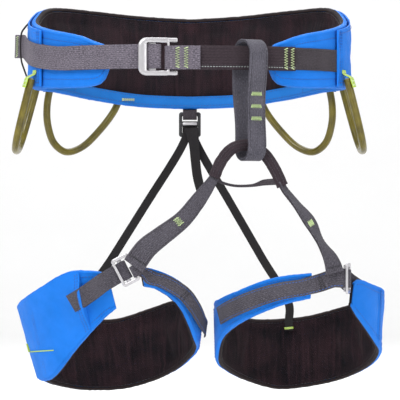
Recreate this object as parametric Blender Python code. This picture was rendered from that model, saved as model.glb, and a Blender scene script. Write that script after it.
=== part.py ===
"""Climbing harness, at rest, hanging from its waist belt. Metres, +Z up, the front faces -Y.

The origin is the middle of the waist opening, at the height of the waist webbing.
"""
import math

import bpy
from mathutils import Matrix, Vector

# Waist belt: inner half axes of the ring, and how far each layer lies outside them.
WAIST_A, WAIST_B = 0.164, 0.108
PAD_OUT, SHELL_IN, SHELL_OUT = 0.0060, 0.0064, 0.0082
LOWER_STRAP, UPPER_STRAP, COVER = 0.0097, 0.0147, 0.0119
WEB_W, WEB_T = 0.0255, 0.0018
TIE_IN_Z, TIE_IN_T = -0.001, 0.0030

# Edge heights of the waist belt: angle from the front in degrees, top, bottom.
WAIST_EDGE = [
    (30.5, 0.0080, -0.0110), (32, 0.0125, -0.0210), (35, 0.0155, -0.0270), (44, 0.0235, -0.0293),
    (64, 0.0325, -0.0285), (80, 0.0400, -0.0275), (95, 0.0490, -0.0275), (108, 0.0600, -0.0277),
    (120, 0.0635, -0.0290), (141, 0.0620, -0.0362), (160, 0.0580, -0.0425), (180, 0.0550, -0.0446),
]

# Belay loop.
BELAY_C = Vector((0.0640, -0.1115, 0.0))
BELAY_YAW, BELAY_HALF, BELAY_LOW, BELAY_W, BELAY_T = 32.0, 0.0150, 0.0122, 0.0220, 0.0026
BELAY_TOP, BELAY_BOTTOM = 0.0186, -0.1090

# Gear loops.
TUBE_R = 0.0041

# Rear ladder-lock buckle, and the points that the leg assembly turns about.
REAR = Vector((0.0, 0.1125, -0.0695))
ARCH_END_L = Vector((0.0262, -0.1240, -0.1265))
ARCH_END_R = Vector((0.0985, -0.1000, -0.1350))

# Leg loops: centre and half axes of the upper and lower edges, then the edge heights.
LEG_L = dict(cx=(-0.0775, -0.0858), cy=(-0.003, -0.005), a=(-0.0815, -0.0950), b=(0.074, 0.084))
LEG_R = dict(cx=(0.1195, 0.1200), cy=(-0.003, -0.005), a=(0.0840, 0.0860), b=(0.076, 0.084))
# Angle from the front towards the outer side, top, bottom.
LEG_L_EDGE = [
    (-20, -0.2225, -0.2410), (-30, -0.2250, -0.2445), (-50, -0.239, -0.262), (-75, -0.266, -0.300),
    (-95, -0.274, -0.312), (-115, -0.268, -0.325), (-135, -0.264, -0.340), (-156, -0.274, -0.353),
    (-180, -0.286, -0.362), (-210, -0.283, -0.362), (-240, -0.275, -0.354), (-270, -0.2675, -0.344),
    (-290, -0.259, -0.345), (-310, -0.247, -0.337), (-335, -0.2275, -0.300), (-352, -0.2262, -0.274),
    (-360, -0.2290, -0.264),
]
LEG_R_EDGE = [
    (6, -0.2285, -0.2535), (-10, -0.2310, -0.2590), (-25, -0.236, -0.267), (-50, -0.249, -0.283),
    (-72, -0.258, -0.300), (-90, -0.263, -0.322), (-120, -0.276, -0.340), (-146, -0.285, -0.354),
    (-167, -0.2858, -0.362), (-190, -0.282, -0.359), (-215, -0.2716, -0.350), (-240, -0.262, -0.336),
    (-270, -0.251, -0.316), (-290, -0.2455, -0.305), (-305, -0.241, -0.290), (-318, -0.236, -0.272),
    (-323, -0.239, -0.262),
]
LEG_PAD, LEG_SHELL = (0.0, 0.0048), (0.0054, 0.0070)
LEG_STRAP_T, LEG_STRAP_W = 0.0016, 0.0200

for old in list(bpy.data.objects):
    bpy.data.objects.remove(old)


def material(name, colour, rough, metal=0.0):
    mat = bpy.data.materials.new(name)
    mat.use_nodes = True
    shader = mat.node_tree.nodes["Principled BSDF"]
    shader.inputs["Base Color"].default_value = (*colour, 1.0)
    shader.inputs["Roughness"].default_value = rough
    shader.inputs["Metallic"].default_value = metal
    return mat


BLUE = material("blue_fabric", (0.013, 0.262, 0.871), 0.75)
MESH = material("black_mesh", (0.020, 0.013, 0.019), 0.9)
GREY = material("grey_webbing", (0.115, 0.108, 0.115), 0.8)
DARK = material("dark_webbing", (0.060, 0.050, 0.058), 0.8)
TIE = material("tie_in_webbing", (0.046, 0.030, 0.037), 0.8)
SLATE = material("slate_webbing", (0.098, 0.098, 0.127), 0.75)
ELASTIC = material("black_elastic", (0.028, 0.025, 0.027), 0.85)
OLIVE = material("olive_tube", (0.202, 0.168, 0.030), 0.3)
LIME = material("lime_webbing", (0.52, 0.70, 0.06), 0.7)
SILVER = material("satin_aluminium", (0.72, 0.71, 0.73), 0.3, 1.0)
PLASTIC = material("black_plastic", (0.020, 0.020, 0.022), 0.45)
PALE = material("pale_tag", (0.62, 0.66, 0.55), 0.7)


def spline(points, count):
    """`count` points along a smooth curve through tuples or vectors of any length."""
    rows = [tuple(p) for p in points]
    rows = [tuple(2 * a - b for a, b in zip(rows[0], rows[1]))] + rows
    rows.append(tuple(2 * a - b for a, b in zip(rows[-1], rows[-2])))
    knots = [0.0]
    for p, q in zip(rows, rows[1:]):
        knots.append(knots[-1] + max(math.dist(p[:3], q[:3]), 1e-9) ** 0.5)
    out = []
    for i in range(count):
        t = knots[1] + (knots[-2] - knots[1]) * i / (count - 1)
        k = 1
        while k < len(rows) - 3 and t > knots[k + 1]:
            k += 1
        p, u = rows[k - 1:k + 3], knots[k - 1:k + 3]

        def mix(a, b, ua, ub):
            w = (t - ua) / (ub - ua)
            return tuple(x + (y - x) * w for x, y in zip(a, b))

        a1, a2, a3 = (mix(p[j], p[j + 1], u[j], u[j + 1]) for j in range(3))
        b1, b2 = mix(a1, a2, u[0], u[2]), mix(a2, a3, u[1], u[3])
        out.append(mix(b1, b2, u[1], u[2]))
    return out


def edges_at(table, phi):
    """Top and bottom heights at an angle, smoothed between the table's rows."""
    rows = sorted(table)
    phi = min(max(phi, rows[0][0]), rows[-1][0])
    k = 0
    while k < len(rows) - 2 and phi > rows[k + 1][0]:
        k += 1

    def slope(i, column):
        lo, hi = max(i - 1, 0), min(i + 1, len(rows) - 1)
        return (rows[hi][column] - rows[lo][column]) / (rows[hi][0] - rows[lo][0])

    p, q = rows[k], rows[k + 1]
    width = q[0] - p[0]
    s = (phi - p[0]) / width
    out = []
    for column in (1, 2):
        h = (2 * s ** 3 - 3 * s ** 2 + 1) * p[column] + (3 * s ** 2 - 2 * s ** 3) * q[column]
        h += (s ** 3 - 2 * s ** 2 + s) * width * slope(k, column)
        h += (s ** 3 - s ** 2) * width * slope(k + 1, column)
        out.append(h)
    return out


def waist_at(phi, z, off):
    t = math.radians(phi)
    return Vector(((WAIST_A + off) * math.sin(t), -(WAIST_B + off) * math.cos(t), z))


def phi_of(x, off):
    return math.degrees(math.asin(x / (WAIST_A + off)))


def leg_at(leg, table, phi, v, off):
    """v runs from the lower edge, 0, to the upper edge, 1."""
    top, bottom = edges_at(table, phi)
    t = math.radians(phi)
    a = leg["a"][0] + (leg["a"][1] - leg["a"][0]) * v
    a += off * math.copysign(1, a)
    b = leg["b"][0] + (leg["b"][1] - leg["b"][0]) * v + off
    x = leg["cx"][0] + (leg["cx"][1] - leg["cx"][0]) * v + a * math.sin(t)
    y = leg["cy"][0] + (leg["cy"][1] - leg["cy"][0]) * v - b * math.cos(t)
    return Vector((x, y, bottom + (top - bottom) * v))


def solid(name, rings, mat, closed=False, smooth=False):
    """A closed body through cross-section rings of equal length."""
    n = len(rings[0])
    verts = [tuple(p) for ring in rings for p in ring]
    faces = []
    for i in range(len(rings) if closed else len(rings) - 1):
        j = (i + 1) % len(rings)
        for k in range(n):
            m = (k + 1) % n
            a, b, c, d = i * n + k, i * n + m, j * n + m, j * n + k
            if verts[a][2] <= verts[b][2]:
                faces += [(a, b, c), (a, c, d)]
            else:
                faces += [(a, b, d), (b, c, d)]
    if not closed:
        faces.append(tuple(reversed(range(n))))
        faces.append(tuple((len(rings) - 1) * n + k for k in range(n)))
    return finish(name, verts, faces, mat, smooth)


def finish(name, verts, faces, mat, smooth=False):
    mesh = bpy.data.meshes.new(name)
    mesh.from_pydata(verts, [], faces)
    mesh.update()
    mesh.calc_loop_triangles()
    volume = 0.0
    for tri in mesh.loop_triangles:
        a, b, c = (mesh.vertices[i].co for i in tri.vertices)
        volume += a.dot(b.cross(c))
    if volume < 0:
        mesh.flip_normals()
    mesh.materials.append(mat)
    if smooth:
        for polygon in mesh.polygons:
            polygon.use_smooth = len(polygon.vertices) == 3
    obj = bpy.data.objects.new(name, mesh)
    bpy.context.collection.objects.link(obj)
    return obj


def panel(name, at, phis, inner, outer, mat, lo=0.0, hi=1.0, rows=2):
    """A curved sheet between two offsets, with rounded upper and lower edges; at(phi, v, off)."""
    rings = []
    mid, half = (inner + outer) / 2, (outer - inner) / 2
    for i, phi in enumerate(phis):
        low = lo(phi) if callable(lo) else lo
        high = hi(phi) if callable(hi) else hi
        soft = 0.012 if half < 0.0015 else 0.035
        span = high - low
        vs = [low + span * (soft + (1 - 2 * soft) * k / (rows - 1)) for k in range(rows)]
        ring = [at(phi, v, outer) for v in vs]
        ring += [at(phi, high, mid)]
        ring += [at(phi, v, inner) for v in reversed(vs)]
        ring += [at(phi, low, mid)]
        rings.append(ring)
    return solid(name, rings, mat, smooth=False)


def span(start, end, count):
    return [start + (end - start) * i / (count - 1) for i in range(count)]


def ribbon(name, points, width, thick, side, mat, count=24):
    """A strap. points are its middle; side is the direction of its width, one or per point."""
    sides = side if isinstance(side, list) else [side] * len(points)
    widths = width if isinstance(width, list) else [width] * len(points)
    rows = [(*p, *s, w) for p, s, w in zip(points, sides, widths)]
    rows = spline(rows, count)
    mids = [Vector(r[:3]) for r in rows]
    rings = []
    for i, row in enumerate(rows):
        along = mids[min(i + 1, count - 1)] - mids[max(i - 1, 0)]
        across = Vector(row[3:6])
        across = (across - along * across.dot(along) / along.length_squared).normalized()
        up = along.cross(across).normalized() * thick / 2
        across *= row[6] / 2
        rings.append([mids[i] + across + up, mids[i] - across + up,
                      mids[i] - across - up, mids[i] + across - up])
    return solid(name, rings, mat)


def tube(name, points, radius, mat, count=28, sides=8, flat=1.0, up=Vector((0, 1, 0))):
    mids = [Vector(p) for p in spline(points, count)]
    rings = []
    for i, mid in enumerate(mids):
        along = (mids[min(i + 1, count - 1)] - mids[max(i - 1, 0)]).normalized()
        b = (up - along * up.dot(along)).normalized()
        c = along.cross(b)
        ring = []
        for k in range(sides):
            t = 2 * math.pi * k / sides
            ring.append(mid + b * radius * flat * math.cos(t) + c * radius * math.sin(t))
        rings.append(ring)
    return solid(name, rings, mat, smooth=True)


def plate(name, xs, ys, holes, thick, place, mat, bevel):
    """A flat frame on a grid of cells, leaving out the hole cells; place maps it into the world."""
    nx, ny = len(xs), len(ys)
    verts = [place @ Vector((x, y, z)) for z in (-thick / 2, thick / 2) for y in ys for x in xs]
    cells = {(i, j) for i in range(nx - 1) for j in range(ny - 1)} - set(holes)

    def at(i, j, level):
        return level * nx * ny + j * nx + i

    faces = []
    for i, j in sorted(cells):
        for level in (0, 1):
            quad = [at(i, j, level), at(i + 1, j, level), at(i + 1, j + 1, level), at(i, j + 1, level)]
            faces.append(quad if level else quad[::-1])
        border = [((0, -1), (i, j), (i + 1, j)), ((1, 0), (i + 1, j), (i + 1, j + 1)),
                  ((0, 1), (i + 1, j + 1), (i, j + 1)), ((-1, 0), (i, j + 1), (i, j))]
        for (di, dj), p, q in border:
            if (i + di, j + dj) not in cells:
                faces.append([at(*p, 0), at(*q, 0), at(*q, 1), at(*p, 1)])
    used = sorted({v for face in faces for v in face})
    index = {v: k for k, v in enumerate(used)}
    obj = finish(name, [tuple(verts[v]) for v in used], [[index[v] for v in f] for f in faces], mat)
    mod = obj.modifiers.new("edges", "BEVEL")
    mod.width = bevel
    mod.segments = 1
    mod.limit_method = "ANGLE"
    mod.angle_limit = math.radians(40)
    return obj


def frame_matrix(centre, u, w):
    """Local x along u, local y along w, local z out of the plate."""
    u = Vector(u).normalized()
    w = (Vector(w) - u * Vector(w).dot(u)).normalized()
    n = u.cross(w)
    return Matrix.Translation(centre) @ Matrix((u, w, n)).transposed().to_4x4()


# ---- waist belt ----
def waist_v(phi, v, off):
    top, bottom = edges_at(WAIST_EDGE, phi if phi <= 180 else 360 - phi)
    return waist_at(phi, bottom + (top - bottom) * v, off)


belt_phis = [30.5, 31.2, 32, 33.5, 35, 38] + span(41, 319, 45) + [322, 325, 326.5, 328, 328.8, 329.5]
panel("waist_pad", waist_v, belt_phis, 0.0, PAD_OUT, MESH)
panel("waist_shell", waist_v, belt_phis, SHELL_IN, SHELL_OUT, BLUE)


def band_v(phi, v, off):
    bottom = edges_at(WAIST_EDGE, phi if phi <= 180 else 360 - phi)[1]
    return waist_at(phi, bottom + 0.0005 + 0.0115 * v, off)


panel("waist_inner_band", band_v, span(112, 248, 41), -0.0018, -0.0006, BLUE)
panel("size_tag", lambda phi, v, off: waist_at(phi, -0.0375 + 0.0035 * v, off),
      span(203, 209, 5), -0.0029, -0.0022, PALE)


def cover_v(phi, v, off):
    top, bottom = edges_at(WAIST_EDGE, phi if phi <= 180 else 360 - phi)
    return waist_at(phi, bottom + 0.0010 + (top - bottom - 0.0020) * v, off)


for label, phis in (("right", span(65, 112, 17)), ("left", span(248, 295, 17))):
    panel("waist_side_cover_" + label, cover_v, phis, COVER - 0.0007, COVER + 0.0007, BLUE)

UP = Vector((0, 0, 1))
# Lower layer of the adjustable strap: from under the left cover to the buckle, round its bar, and back.
turn_phi = phi_of(-0.0325, 0.0122)
mid_o, half_o = (LOWER_STRAP + UPPER_STRAP) / 2, (UPPER_STRAP - LOWER_STRAP) / 2


def strap_z(phi):
    far = max(0.0, min(1.0, (-phi - 48) / 42))
    return 0.0005 + 0.0175 * far ** 1.6


route = [waist_at(p, strap_z(p), LOWER_STRAP) for p in span(-104, turn_phi, 22)]
for k in range(1, 8):
    t = math.pi * k / 8
    phi = turn_phi + math.degrees(half_o * math.sin(t) / WAIST_A)
    route.append(waist_at(phi, strap_z(phi), mid_o - half_o * math.cos(t)))
route += [waist_at(p, strap_z(p), UPPER_STRAP) for p in span(turn_phi, -82, 17)]
route += [Vector((-0.1812, -0.0030, 0.0180)), Vector((-0.1850, 0.0040, 0.0185)),
          Vector((-0.1915, 0.0085, 0.0188))]
ribbon("waist_strap_left", route, WEB_W, WEB_T, UP, GREY, 84)

ribbon("waist_webbing_right", [waist_at(p, -0.0005, LOWER_STRAP) for p in span(29, 106, 20)],
       0.0235, WEB_T, UP, DARK, 34)
tie_phis = [math.degrees(math.asin(x / 0.1765)) for x in span(-0.0030, 0.1120, 20)]
ribbon("tie_in_webbing", [waist_at(p, TIE_IN_Z, 0.0125) for p in tie_phis],
       0.0250, TIE_IN_T, UP, TIE, 30)
fold_phi = phi_of(-0.0215, 0.0125)
low_o, high_o = LOWER_STRAP, 0.0153
route = [waist_at(p, TIE_IN_Z, low_o) for p in span(phi_of(0.0120, low_o), fold_phi, 6)]
for k in range(1, 8):
    t = math.pi * k / 8
    phi = fold_phi - math.degrees((high_o - low_o) / 2 * math.sin(t) / WAIST_A)
    route.append(waist_at(phi, TIE_IN_Z, (low_o + high_o) / 2 - (high_o - low_o) / 2 * math.cos(t)))
route += [waist_at(p, TIE_IN_Z, high_o) for p in span(fold_phi, phi_of(0.0120, high_o), 6)]
ribbon("buckle_strap", route, 0.0240, 0.0018, UP, GREY, 40)

# Waist buckle: a frame whose thin right bar lies in the short strap's fold, between two longer rails.
left_mid = waist_at(phi_of(-0.0485, 0.0184), 0.0, 0.0184)
right_mid = waist_at(fold_phi, 0.0, 0.0125)
buckle_u = (right_mid - left_mid).normalized()
buckle_at = left_mid + buckle_u * 0.0178
reach = (right_mid - buckle_at).length
place = frame_matrix(buckle_at, buckle_u, UP)
plate("waist_buckle_frame", [-0.0225, -0.0130, reach - 0.0013, reach + 0.0013, reach + 0.0095],
      [-0.0198, -0.0145, 0.0145, 0.0198], [(1, 1), (3, 1)], 0.0026, place, SILVER, 0.0008)
bar_phi = phi_of(-0.0385, 0.0122)
bar_mid = waist_at(bar_phi, 0.0, mid_o - 0.0002)
bar_u = (waist_at(bar_phi + 1, 0, mid_o) - waist_at(bar_phi - 1, 0, mid_o)).normalized()
plate("waist_buckle_bar", [-0.0040, 0.0040], [-0.0172, 0.0172], [], 0.0018,
      frame_matrix(bar_mid, bar_u, UP), SILVER, 0.0006)

# Elastic keeper over the folded end of the strap.
ribbon("strap_keeper", [Vector((-0.1780, 0.0050, 0.0440)), Vector((-0.1804, 0.0000, 0.0390)),
                        Vector((-0.1828, -0.0045, 0.0330)), Vector((-0.1835, -0.0060, 0.0180)),
                        Vector((-0.1828, -0.0075, 0.0020)), Vector((-0.1803, -0.0100, -0.0080)),
                        Vector((-0.1780, -0.0125, -0.0170))],
       0.0030, 0.0008, Vector((0, 1, 0)), ELASTIC, 24)

# ---- belay loop ----
yaw = math.radians(BELAY_YAW)
belay_w = Vector((math.cos(yaw), math.sin(yaw), 0))
belay_d = Vector((-math.sin(yaw), math.cos(yaw), 0))
top_c = BELAY_TOP - BELAY_T / 2 - BELAY_HALF
low_c = BELAY_BOTTOM + BELAY_T / 2 + BELAY_LOW


def belay_half(z):
    """Half the gap between the strands: the loop narrows to the lower tie-in."""
    share = max(0.0, min(1.0, (top_c - z) / (top_c - low_c)))
    return BELAY_HALF + (BELAY_LOW - BELAY_HALF) * (3 * share ** 2 - 2 * share ** 3)


rings = []
outline = [(math.radians(a), top_c) for a in span(0, 180, 10)]
outline += [(math.pi, top_c + (low_c - top_c) * k / 6) for k in range(1, 6)]
outline += [(math.radians(a), low_c) for a in span(180, 360, 10)]
outline += [(0.0, low_c + (top_c - low_c) * k / 6) for k in range(1, 6)]
for turn, z in outline:
    out = -belay_d * math.cos(turn) + UP * math.sin(turn)
    mid = BELAY_C + UP * z
    ring = []
    half = belay_half(z)
    for r, s in ((1, 1), (1, -1), (-1, -1), (-1, 1)):
        ring.append(mid + out * (half + r * BELAY_T / 2) + belay_w * s * BELAY_W / 2)
    rings.append(ring)
solid("belay_loop", rings, SLATE, closed=True)

# ---- gear loops: share of the way between the ends, height ----
FRONT_LOOP = [(0, -0.0195), (0.015, -0.040), (0.05, -0.062), (0.14, -0.083), (0.30, -0.0935),
              (0.50, -0.0960), (0.70, -0.0935), (0.86, -0.083), (0.95, -0.062), (0.985, -0.040),
              (1, -0.0195)]
REAR_LOOP = [(0, -0.0195), (-0.025, -0.045), (0.01, -0.066), (0.12, -0.086), (0.30, -0.0955),
             (0.52, -0.0900), (0.76, -0.070), (0.94, -0.048), (1.0, -0.0345)]


def gear_loop(name, phi0, phi1, base, shape, flare, mat_tab):
    """The tube hangs in one plane through both tabs, leaning out from the belt by `flare`."""
    sign = 1 if phi0 > 0 else -1
    chord = waist_at(phi1, 0, base) - waist_at(phi0, 0, base)
    out = Vector((chord.y, -chord.x, 0)).normalized()
    if out.x * sign < 0:
        out = -out
    ends = [(phi0, shape[0][1]), (phi1, shape[-1][1])]
    route = []
    for share, z in shape:
        top = ends[0][1] + (ends[1][1] - ends[0][1]) * share
        foot = waist_at(phi0, z, base + 0.0048).lerp(waist_at(phi1, z, base + 0.0048), share)
        route.append(foot + out * flare * (top - z))
    tube("gear_loop_" + name, route, TUBE_R, OLIVE, 24, 7, 1.0, Vector((sign, 0, 0.2)))
    for label, (phi, top) in zip(("front", "rear"), ends):
        t0 = top + 0.0095
        path = [waist_at(phi, t0, base + 0.0011), waist_at(phi, t0 - 0.0035, base + 0.0013),
                waist_at(phi, t0 - 0.0085, base + 0.0096), waist_at(phi, t0 - 0.0120, base + 0.0108),
                waist_at(phi, t0 - 0.0185, base + 0.0108) + out * flare * 0.008]
        side = (waist_at(phi + 1, 0, base) - waist_at(phi - 1, 0, base)).normalized()
        ribbon("gear_tab_" + name + "_" + label, path, 0.0075, 0.0010, side, mat_tab[label], 12)


TABS = {"front": LIME, "rear": BLUE}
gear_loop("front_right", 70, 111, 0.0126, FRONT_LOOP, 0.26, TABS)
gear_loop("front_left", -70, -111, 0.0126, FRONT_LOOP, 0.26, TABS)
gear_loop("rear_right", 118.5, 153, 0.0082, REAR_LOOP, 0.18, {"front": BLUE, "rear": BLUE})
gear_loop("rear_left", -118.5, -153, 0.0082, REAR_LOOP, 0.18, {"front": BLUE, "rear": BLUE})

# ---- rear buckle ----
ribbon("rear_tab", [Vector((0, 0.1176, -0.0300)), Vector((0, 0.1176, -0.0450)),
                    Vector((0, 0.1170, -0.0540)), Vector((0, 0.1125, -0.0578)),
                    Vector((0, 0.1080, -0.0540)), Vector((0, 0.1076, -0.0475))],
       0.0155, 0.0012, Vector((1, 0, 0)), DARK, 26)
place = frame_matrix(Vector((0, REAR.y, 0)), (1, 0, 0), UP)
plate("rear_buckle", [-0.0125, -0.0088, 0.0088, 0.0125],
      [-0.0780, -0.0738, -0.0655, -0.0608, -0.0538, -0.0495], [(1, 1), (1, 3)], 0.0030,
      place, PLASTIC, 0.0008)
place = frame_matrix(Vector((0, 0.1093, -0.0630)), (1, 0, 0), UP)
plate("rear_buckle_bar", [-0.0080, 0.0080], [-0.0019, 0.0019], [], 0.0024, place, SILVER, 0.0007)
ribbon("riser_tail", [Vector((0.0020, 0.1045, -0.0680)), Vector((0.0046, 0.1038, -0.0850)),
                      Vector((0.0064, 0.1030, -0.1050)), Vector((0.0088, 0.1030, -0.1240)),
                      Vector((0.0135, 0.1034, -0.1420))],
       [0.0150, 0.0115, 0.0105, 0.0105, 0.0105], 0.0013, Vector((1, 0, 0)), ELASTIC, 18)

# ---- lower tie-in ----
tube("tie_in_arch", [ARCH_END_L, Vector((0.0340, -0.1225, -0.1090)), Vector((0.0450, -0.1190, -0.0965)),
                     Vector((0.0575, -0.1145, -0.0925)), Vector((0.0700, -0.1098, -0.0945)),
                     Vector((0.0805, -0.1063, -0.1030)), Vector((0.0905, -0.1030, -0.1180)), ARCH_END_R],
     0.0062, TIE, 30, 10, 0.62)
ribbon("cross_strap", [Vector((0.0400, -0.1140, -0.1335)), Vector((0.0500, -0.1125, -0.1352)),
                       Vector((0.0680, -0.1085, -0.1345)), Vector((0.0780, -0.1045, -0.1318)),
                       Vector((0.0858, -0.1020, -0.1310))],
       [0.0025, 0.0025, 0.0030, 0.0060, 0.0065], 0.0012, UP, ELASTIC, 16)


# ---- leg loops ----
def leg_loop(side, leg, table, pad_phis):
    def at(phi, v, off):
        return leg_at(leg, table, phi, v, off)

    panel("leg_pad_" + side, at, pad_phis, *LEG_PAD, MESH)
    panel("leg_shell_" + side, at, pad_phis, *LEG_SHELL, BLUE)


left_phis = span(-360, -352, 3) + span(-347, -29, 46) + [-24, -20]
right_phis = [-323, -321, -318] + span(-313, -3, 44) + [2, 6]
leg_loop("left", LEG_L, LEG_L_EDGE, left_phis)
leg_loop("right", LEG_R, LEG_R_EDGE, right_phis)

# Leg buckles: middle, direction of the strap, direction of the bars.
BUCKLE_L = frame_matrix(Vector((-0.0665, -0.1018, -0.2235)), (0.88, -0.06, 0.46), (-0.46, 0, 0.88))
BUCKLE_R = frame_matrix(Vector((0.1690, -0.0860, -0.2330)), (-0.18, -0.98, 0.0), (0.0, 0.0, -1.0))
SLIDER_N, TURN_U, TURN_R = -0.0046, -0.0002, 0.0022


def leg_z(leg, table, phi, z, off):
    top, bottom = edges_at(table, phi)
    return leg_at(leg, table, phi, (z - bottom) / (top - bottom), off)


def lean_side(leg, table, phi, lean):
    """Direction of a strap's width on the leg's surface; lean is the strap's slope, as a tangent."""
    up = (leg_at(leg, table, phi, 1, 0) - leg_at(leg, table, phi, 0, 0)).normalized()
    tangent = (leg_at(leg, table, phi + 2, 0.5, 0) - leg_at(leg, table, phi - 2, 0.5, 0)).normalized()
    tangent *= math.copysign(1, tangent.x)
    tangent.z = 0
    return (up - tangent * lean).normalized()


for side, place in (("left", BUCKLE_L), ("right", BUCKLE_R)):
    plate("leg_buckle_frame_" + side, [-0.0105, -0.0075, 0.0065, 0.0095],
          [-0.0162, -0.0122, 0.0122, 0.0162], [(1, 1)], 0.0024, place, SILVER, 0.0008)
    plate("leg_buckle_bar_" + side, [-0.0056, -0.0004], [-0.0142, 0.0142], [], 0.0020,
          place @ Matrix.Translation((0, 0, SLIDER_N)), SILVER, 0.0005)


def turn_points(place):
    """Local route of an adjustable strap through a leg buckle, round its sliding bar."""
    out = [(-0.0120, -0.0068), (-0.0060, -0.0068), (-0.0030, -0.0068), (-0.0010, -0.0068)]
    for k in range(1, 8):
        t = math.pi * k / 8
        out.append((TURN_U + TURN_R * math.sin(t), SLIDER_N - TURN_R * math.cos(t)))
    out += [(-0.0010, -0.0024), (-0.0030, -0.0024), (-0.0060, -0.0024), (-0.0120, -0.0024)]
    return [place @ Vector((u, 0, n)) for u, n in out]


bars_l = BUCKLE_L.to_3x3() @ Vector((0, 1, 0))
bars_r = BUCKLE_R.to_3x3() @ Vector((0, -1, 0))
under = [(-336, -0.2600), (-341, -0.2550), (-346, -0.2495), (-351, -0.2435), (-356, -0.2375)]
route = [leg_z(LEG_L, LEG_L_EDGE, phi, z, 0.0134) for phi, z in under]
route += turn_points(BUCKLE_L)
route += [leg_z(LEG_L, LEG_L_EDGE, phi, z, 0.0170) for phi, z in reversed(under)]
lean = [lean_side(LEG_L, LEG_L_EDGE, phi, 0.52) for phi, z in under]
sides = lean + [bars_l] * 15 + lean[::-1]
ribbon("leg_strap_left", route, LEG_STRAP_W, LEG_STRAP_T, sides, GREY, 52)
inside = [(-304, -0.2500, -0.0020), (-311, -0.2460, -0.0022), (-317, -0.2420, -0.0028),
          (-322, -0.2380, -0.0042)]
route = [leg_z(LEG_R, LEG_R_EDGE, phi, z, off) for phi, z, off in inside]
route += turn_points(BUCKLE_R)[:-1]
route.append(BUCKLE_R @ Vector((-0.0110, 0.0, -0.0024)))
lean = [lean_side(LEG_R, LEG_R_EDGE, phi, 0.0) for phi, z, off in inside]
ribbon("leg_strap_right", route, LEG_STRAP_W, LEG_STRAP_T, lean + [bars_r] * 15, GREY, 44)

# Inner webbings: folded round the fixed bar of the buckle, then along the leg band.
route = [BUCKLE_L @ Vector((u, -0.0055, 0.0034)) for u in (0.0140, 0.0110, 0.0085)]
for k in range(1, 8):
    t = math.pi * k / 8
    route.append(BUCKLE_L @ Vector((0.0080 - 0.0034 * math.sin(t), -0.0055, 0.0034 * math.cos(t))))
route += [BUCKLE_L @ Vector((0.0090, -0.0057, -0.0035)), BUCKLE_L @ Vector((0.0125, -0.0080, -0.0050))]
sides = [bars_l] * len(route)
for phi in (-25, -31, -39, -50, -62, -74, -86, -97):
    route.append(leg_at(LEG_L, LEG_L_EDGE, phi, 0.5, 0.0118 if phi > -35 else 0.0116))
    sides.append((leg_at(LEG_L, LEG_L_EDGE, phi, 1, 0.0082)
                  - leg_at(LEG_L, LEG_L_EDGE, phi, 0, 0.0082)).normalized())
widths = [0.0125] * 11 + [0.0135] + [0.0150] * 8
ribbon("leg_webbing_left", route, widths, LEG_STRAP_T, sides, GREY, 54)

fixed = BUCKLE_R @ Vector((0.0080, 0, 0))
route = [leg_at(LEG_R, LEG_R_EDGE, phi, 0.5, 0.0112) for phi in (-66, -56, -46, -36, -25, -12, 0)]
sides = [lean_side(LEG_R, LEG_R_EDGE, phi, lean) for phi, lean in (
    (-66, 0.25), (-56, 0.25), (-46, 0.22), (-36, 0.2), (-25, 0.15), (-12, 0.1), (0, 0.05))]
route.append(Vector((0.1385, -0.0945, -0.2375)))
for dx, dy in ((-0.0150, -0.0012), (-0.0060, -0.0030), (0, -0.0031), (0.0022, -0.0022),
               (0.0031, 0), (0.0022, 0.0022), (0, 0.0031), (-0.0060, 0.0034), (-0.0110, 0.0048)):
    route.append(Vector((fixed.x + dx, fixed.y + dy, -0.2330)))
sides += [UP] * 10
ribbon("leg_webbing_right", route, 0.0190, LEG_STRAP_T, sides, GREY, 54)

# Leg risers, from the ends of the arch down to the leg buckles.
low = BUCKLE_L @ Vector((0.0095, 0, 0.0068))
ribbon("leg_riser_left",
       [Vector((0.0245, -0.1240, -0.1295)), Vector((0.0115, -0.1235, -0.1480)),
        Vector((-0.0063, -0.1205, -0.1700)), Vector((-0.0290, -0.1150, -0.1880)),
        Vector((-0.0450, -0.1100, -0.2010)), low],
       [0.0110, 0.0160, 0.0185, 0.0210, 0.0230, 0.0240], 0.0034,
       [Vector((0.70, 0.1, -0.70)), Vector((0.75, 0.1, -0.65)), Vector((0.73, 0.1, -0.67)),
        Vector((0.60, 0, -0.78)), Vector((0.55, 0, -0.83)), -bars_l], GREY, 28)
ribbon("leg_riser_right",
       [Vector((0.1000, -0.1000, -0.1378)), Vector((0.1130, -0.0995, -0.1545)),
        Vector((0.1265, -0.0990, -0.1720)), Vector((0.1390, -0.0990, -0.1950)),
        Vector((0.1520, -0.1000, -0.2130)), Vector((0.1590, -0.1010, -0.2270))],
       [0.0100, 0.0150, 0.0180, 0.0180, 0.0190, 0.0190], 0.0034,
       [Vector((0.45, 0.85, 0.2)), Vector((0.40, 0.90, 0.2)), Vector((0.55, 0.75, 0.35)),
        Vector((0.30, 0.90, 0.2)), Vector((0.65, 0.60, 0.45)), Vector((0.95, 0.10, 0.25))], GREY, 28)

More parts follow.
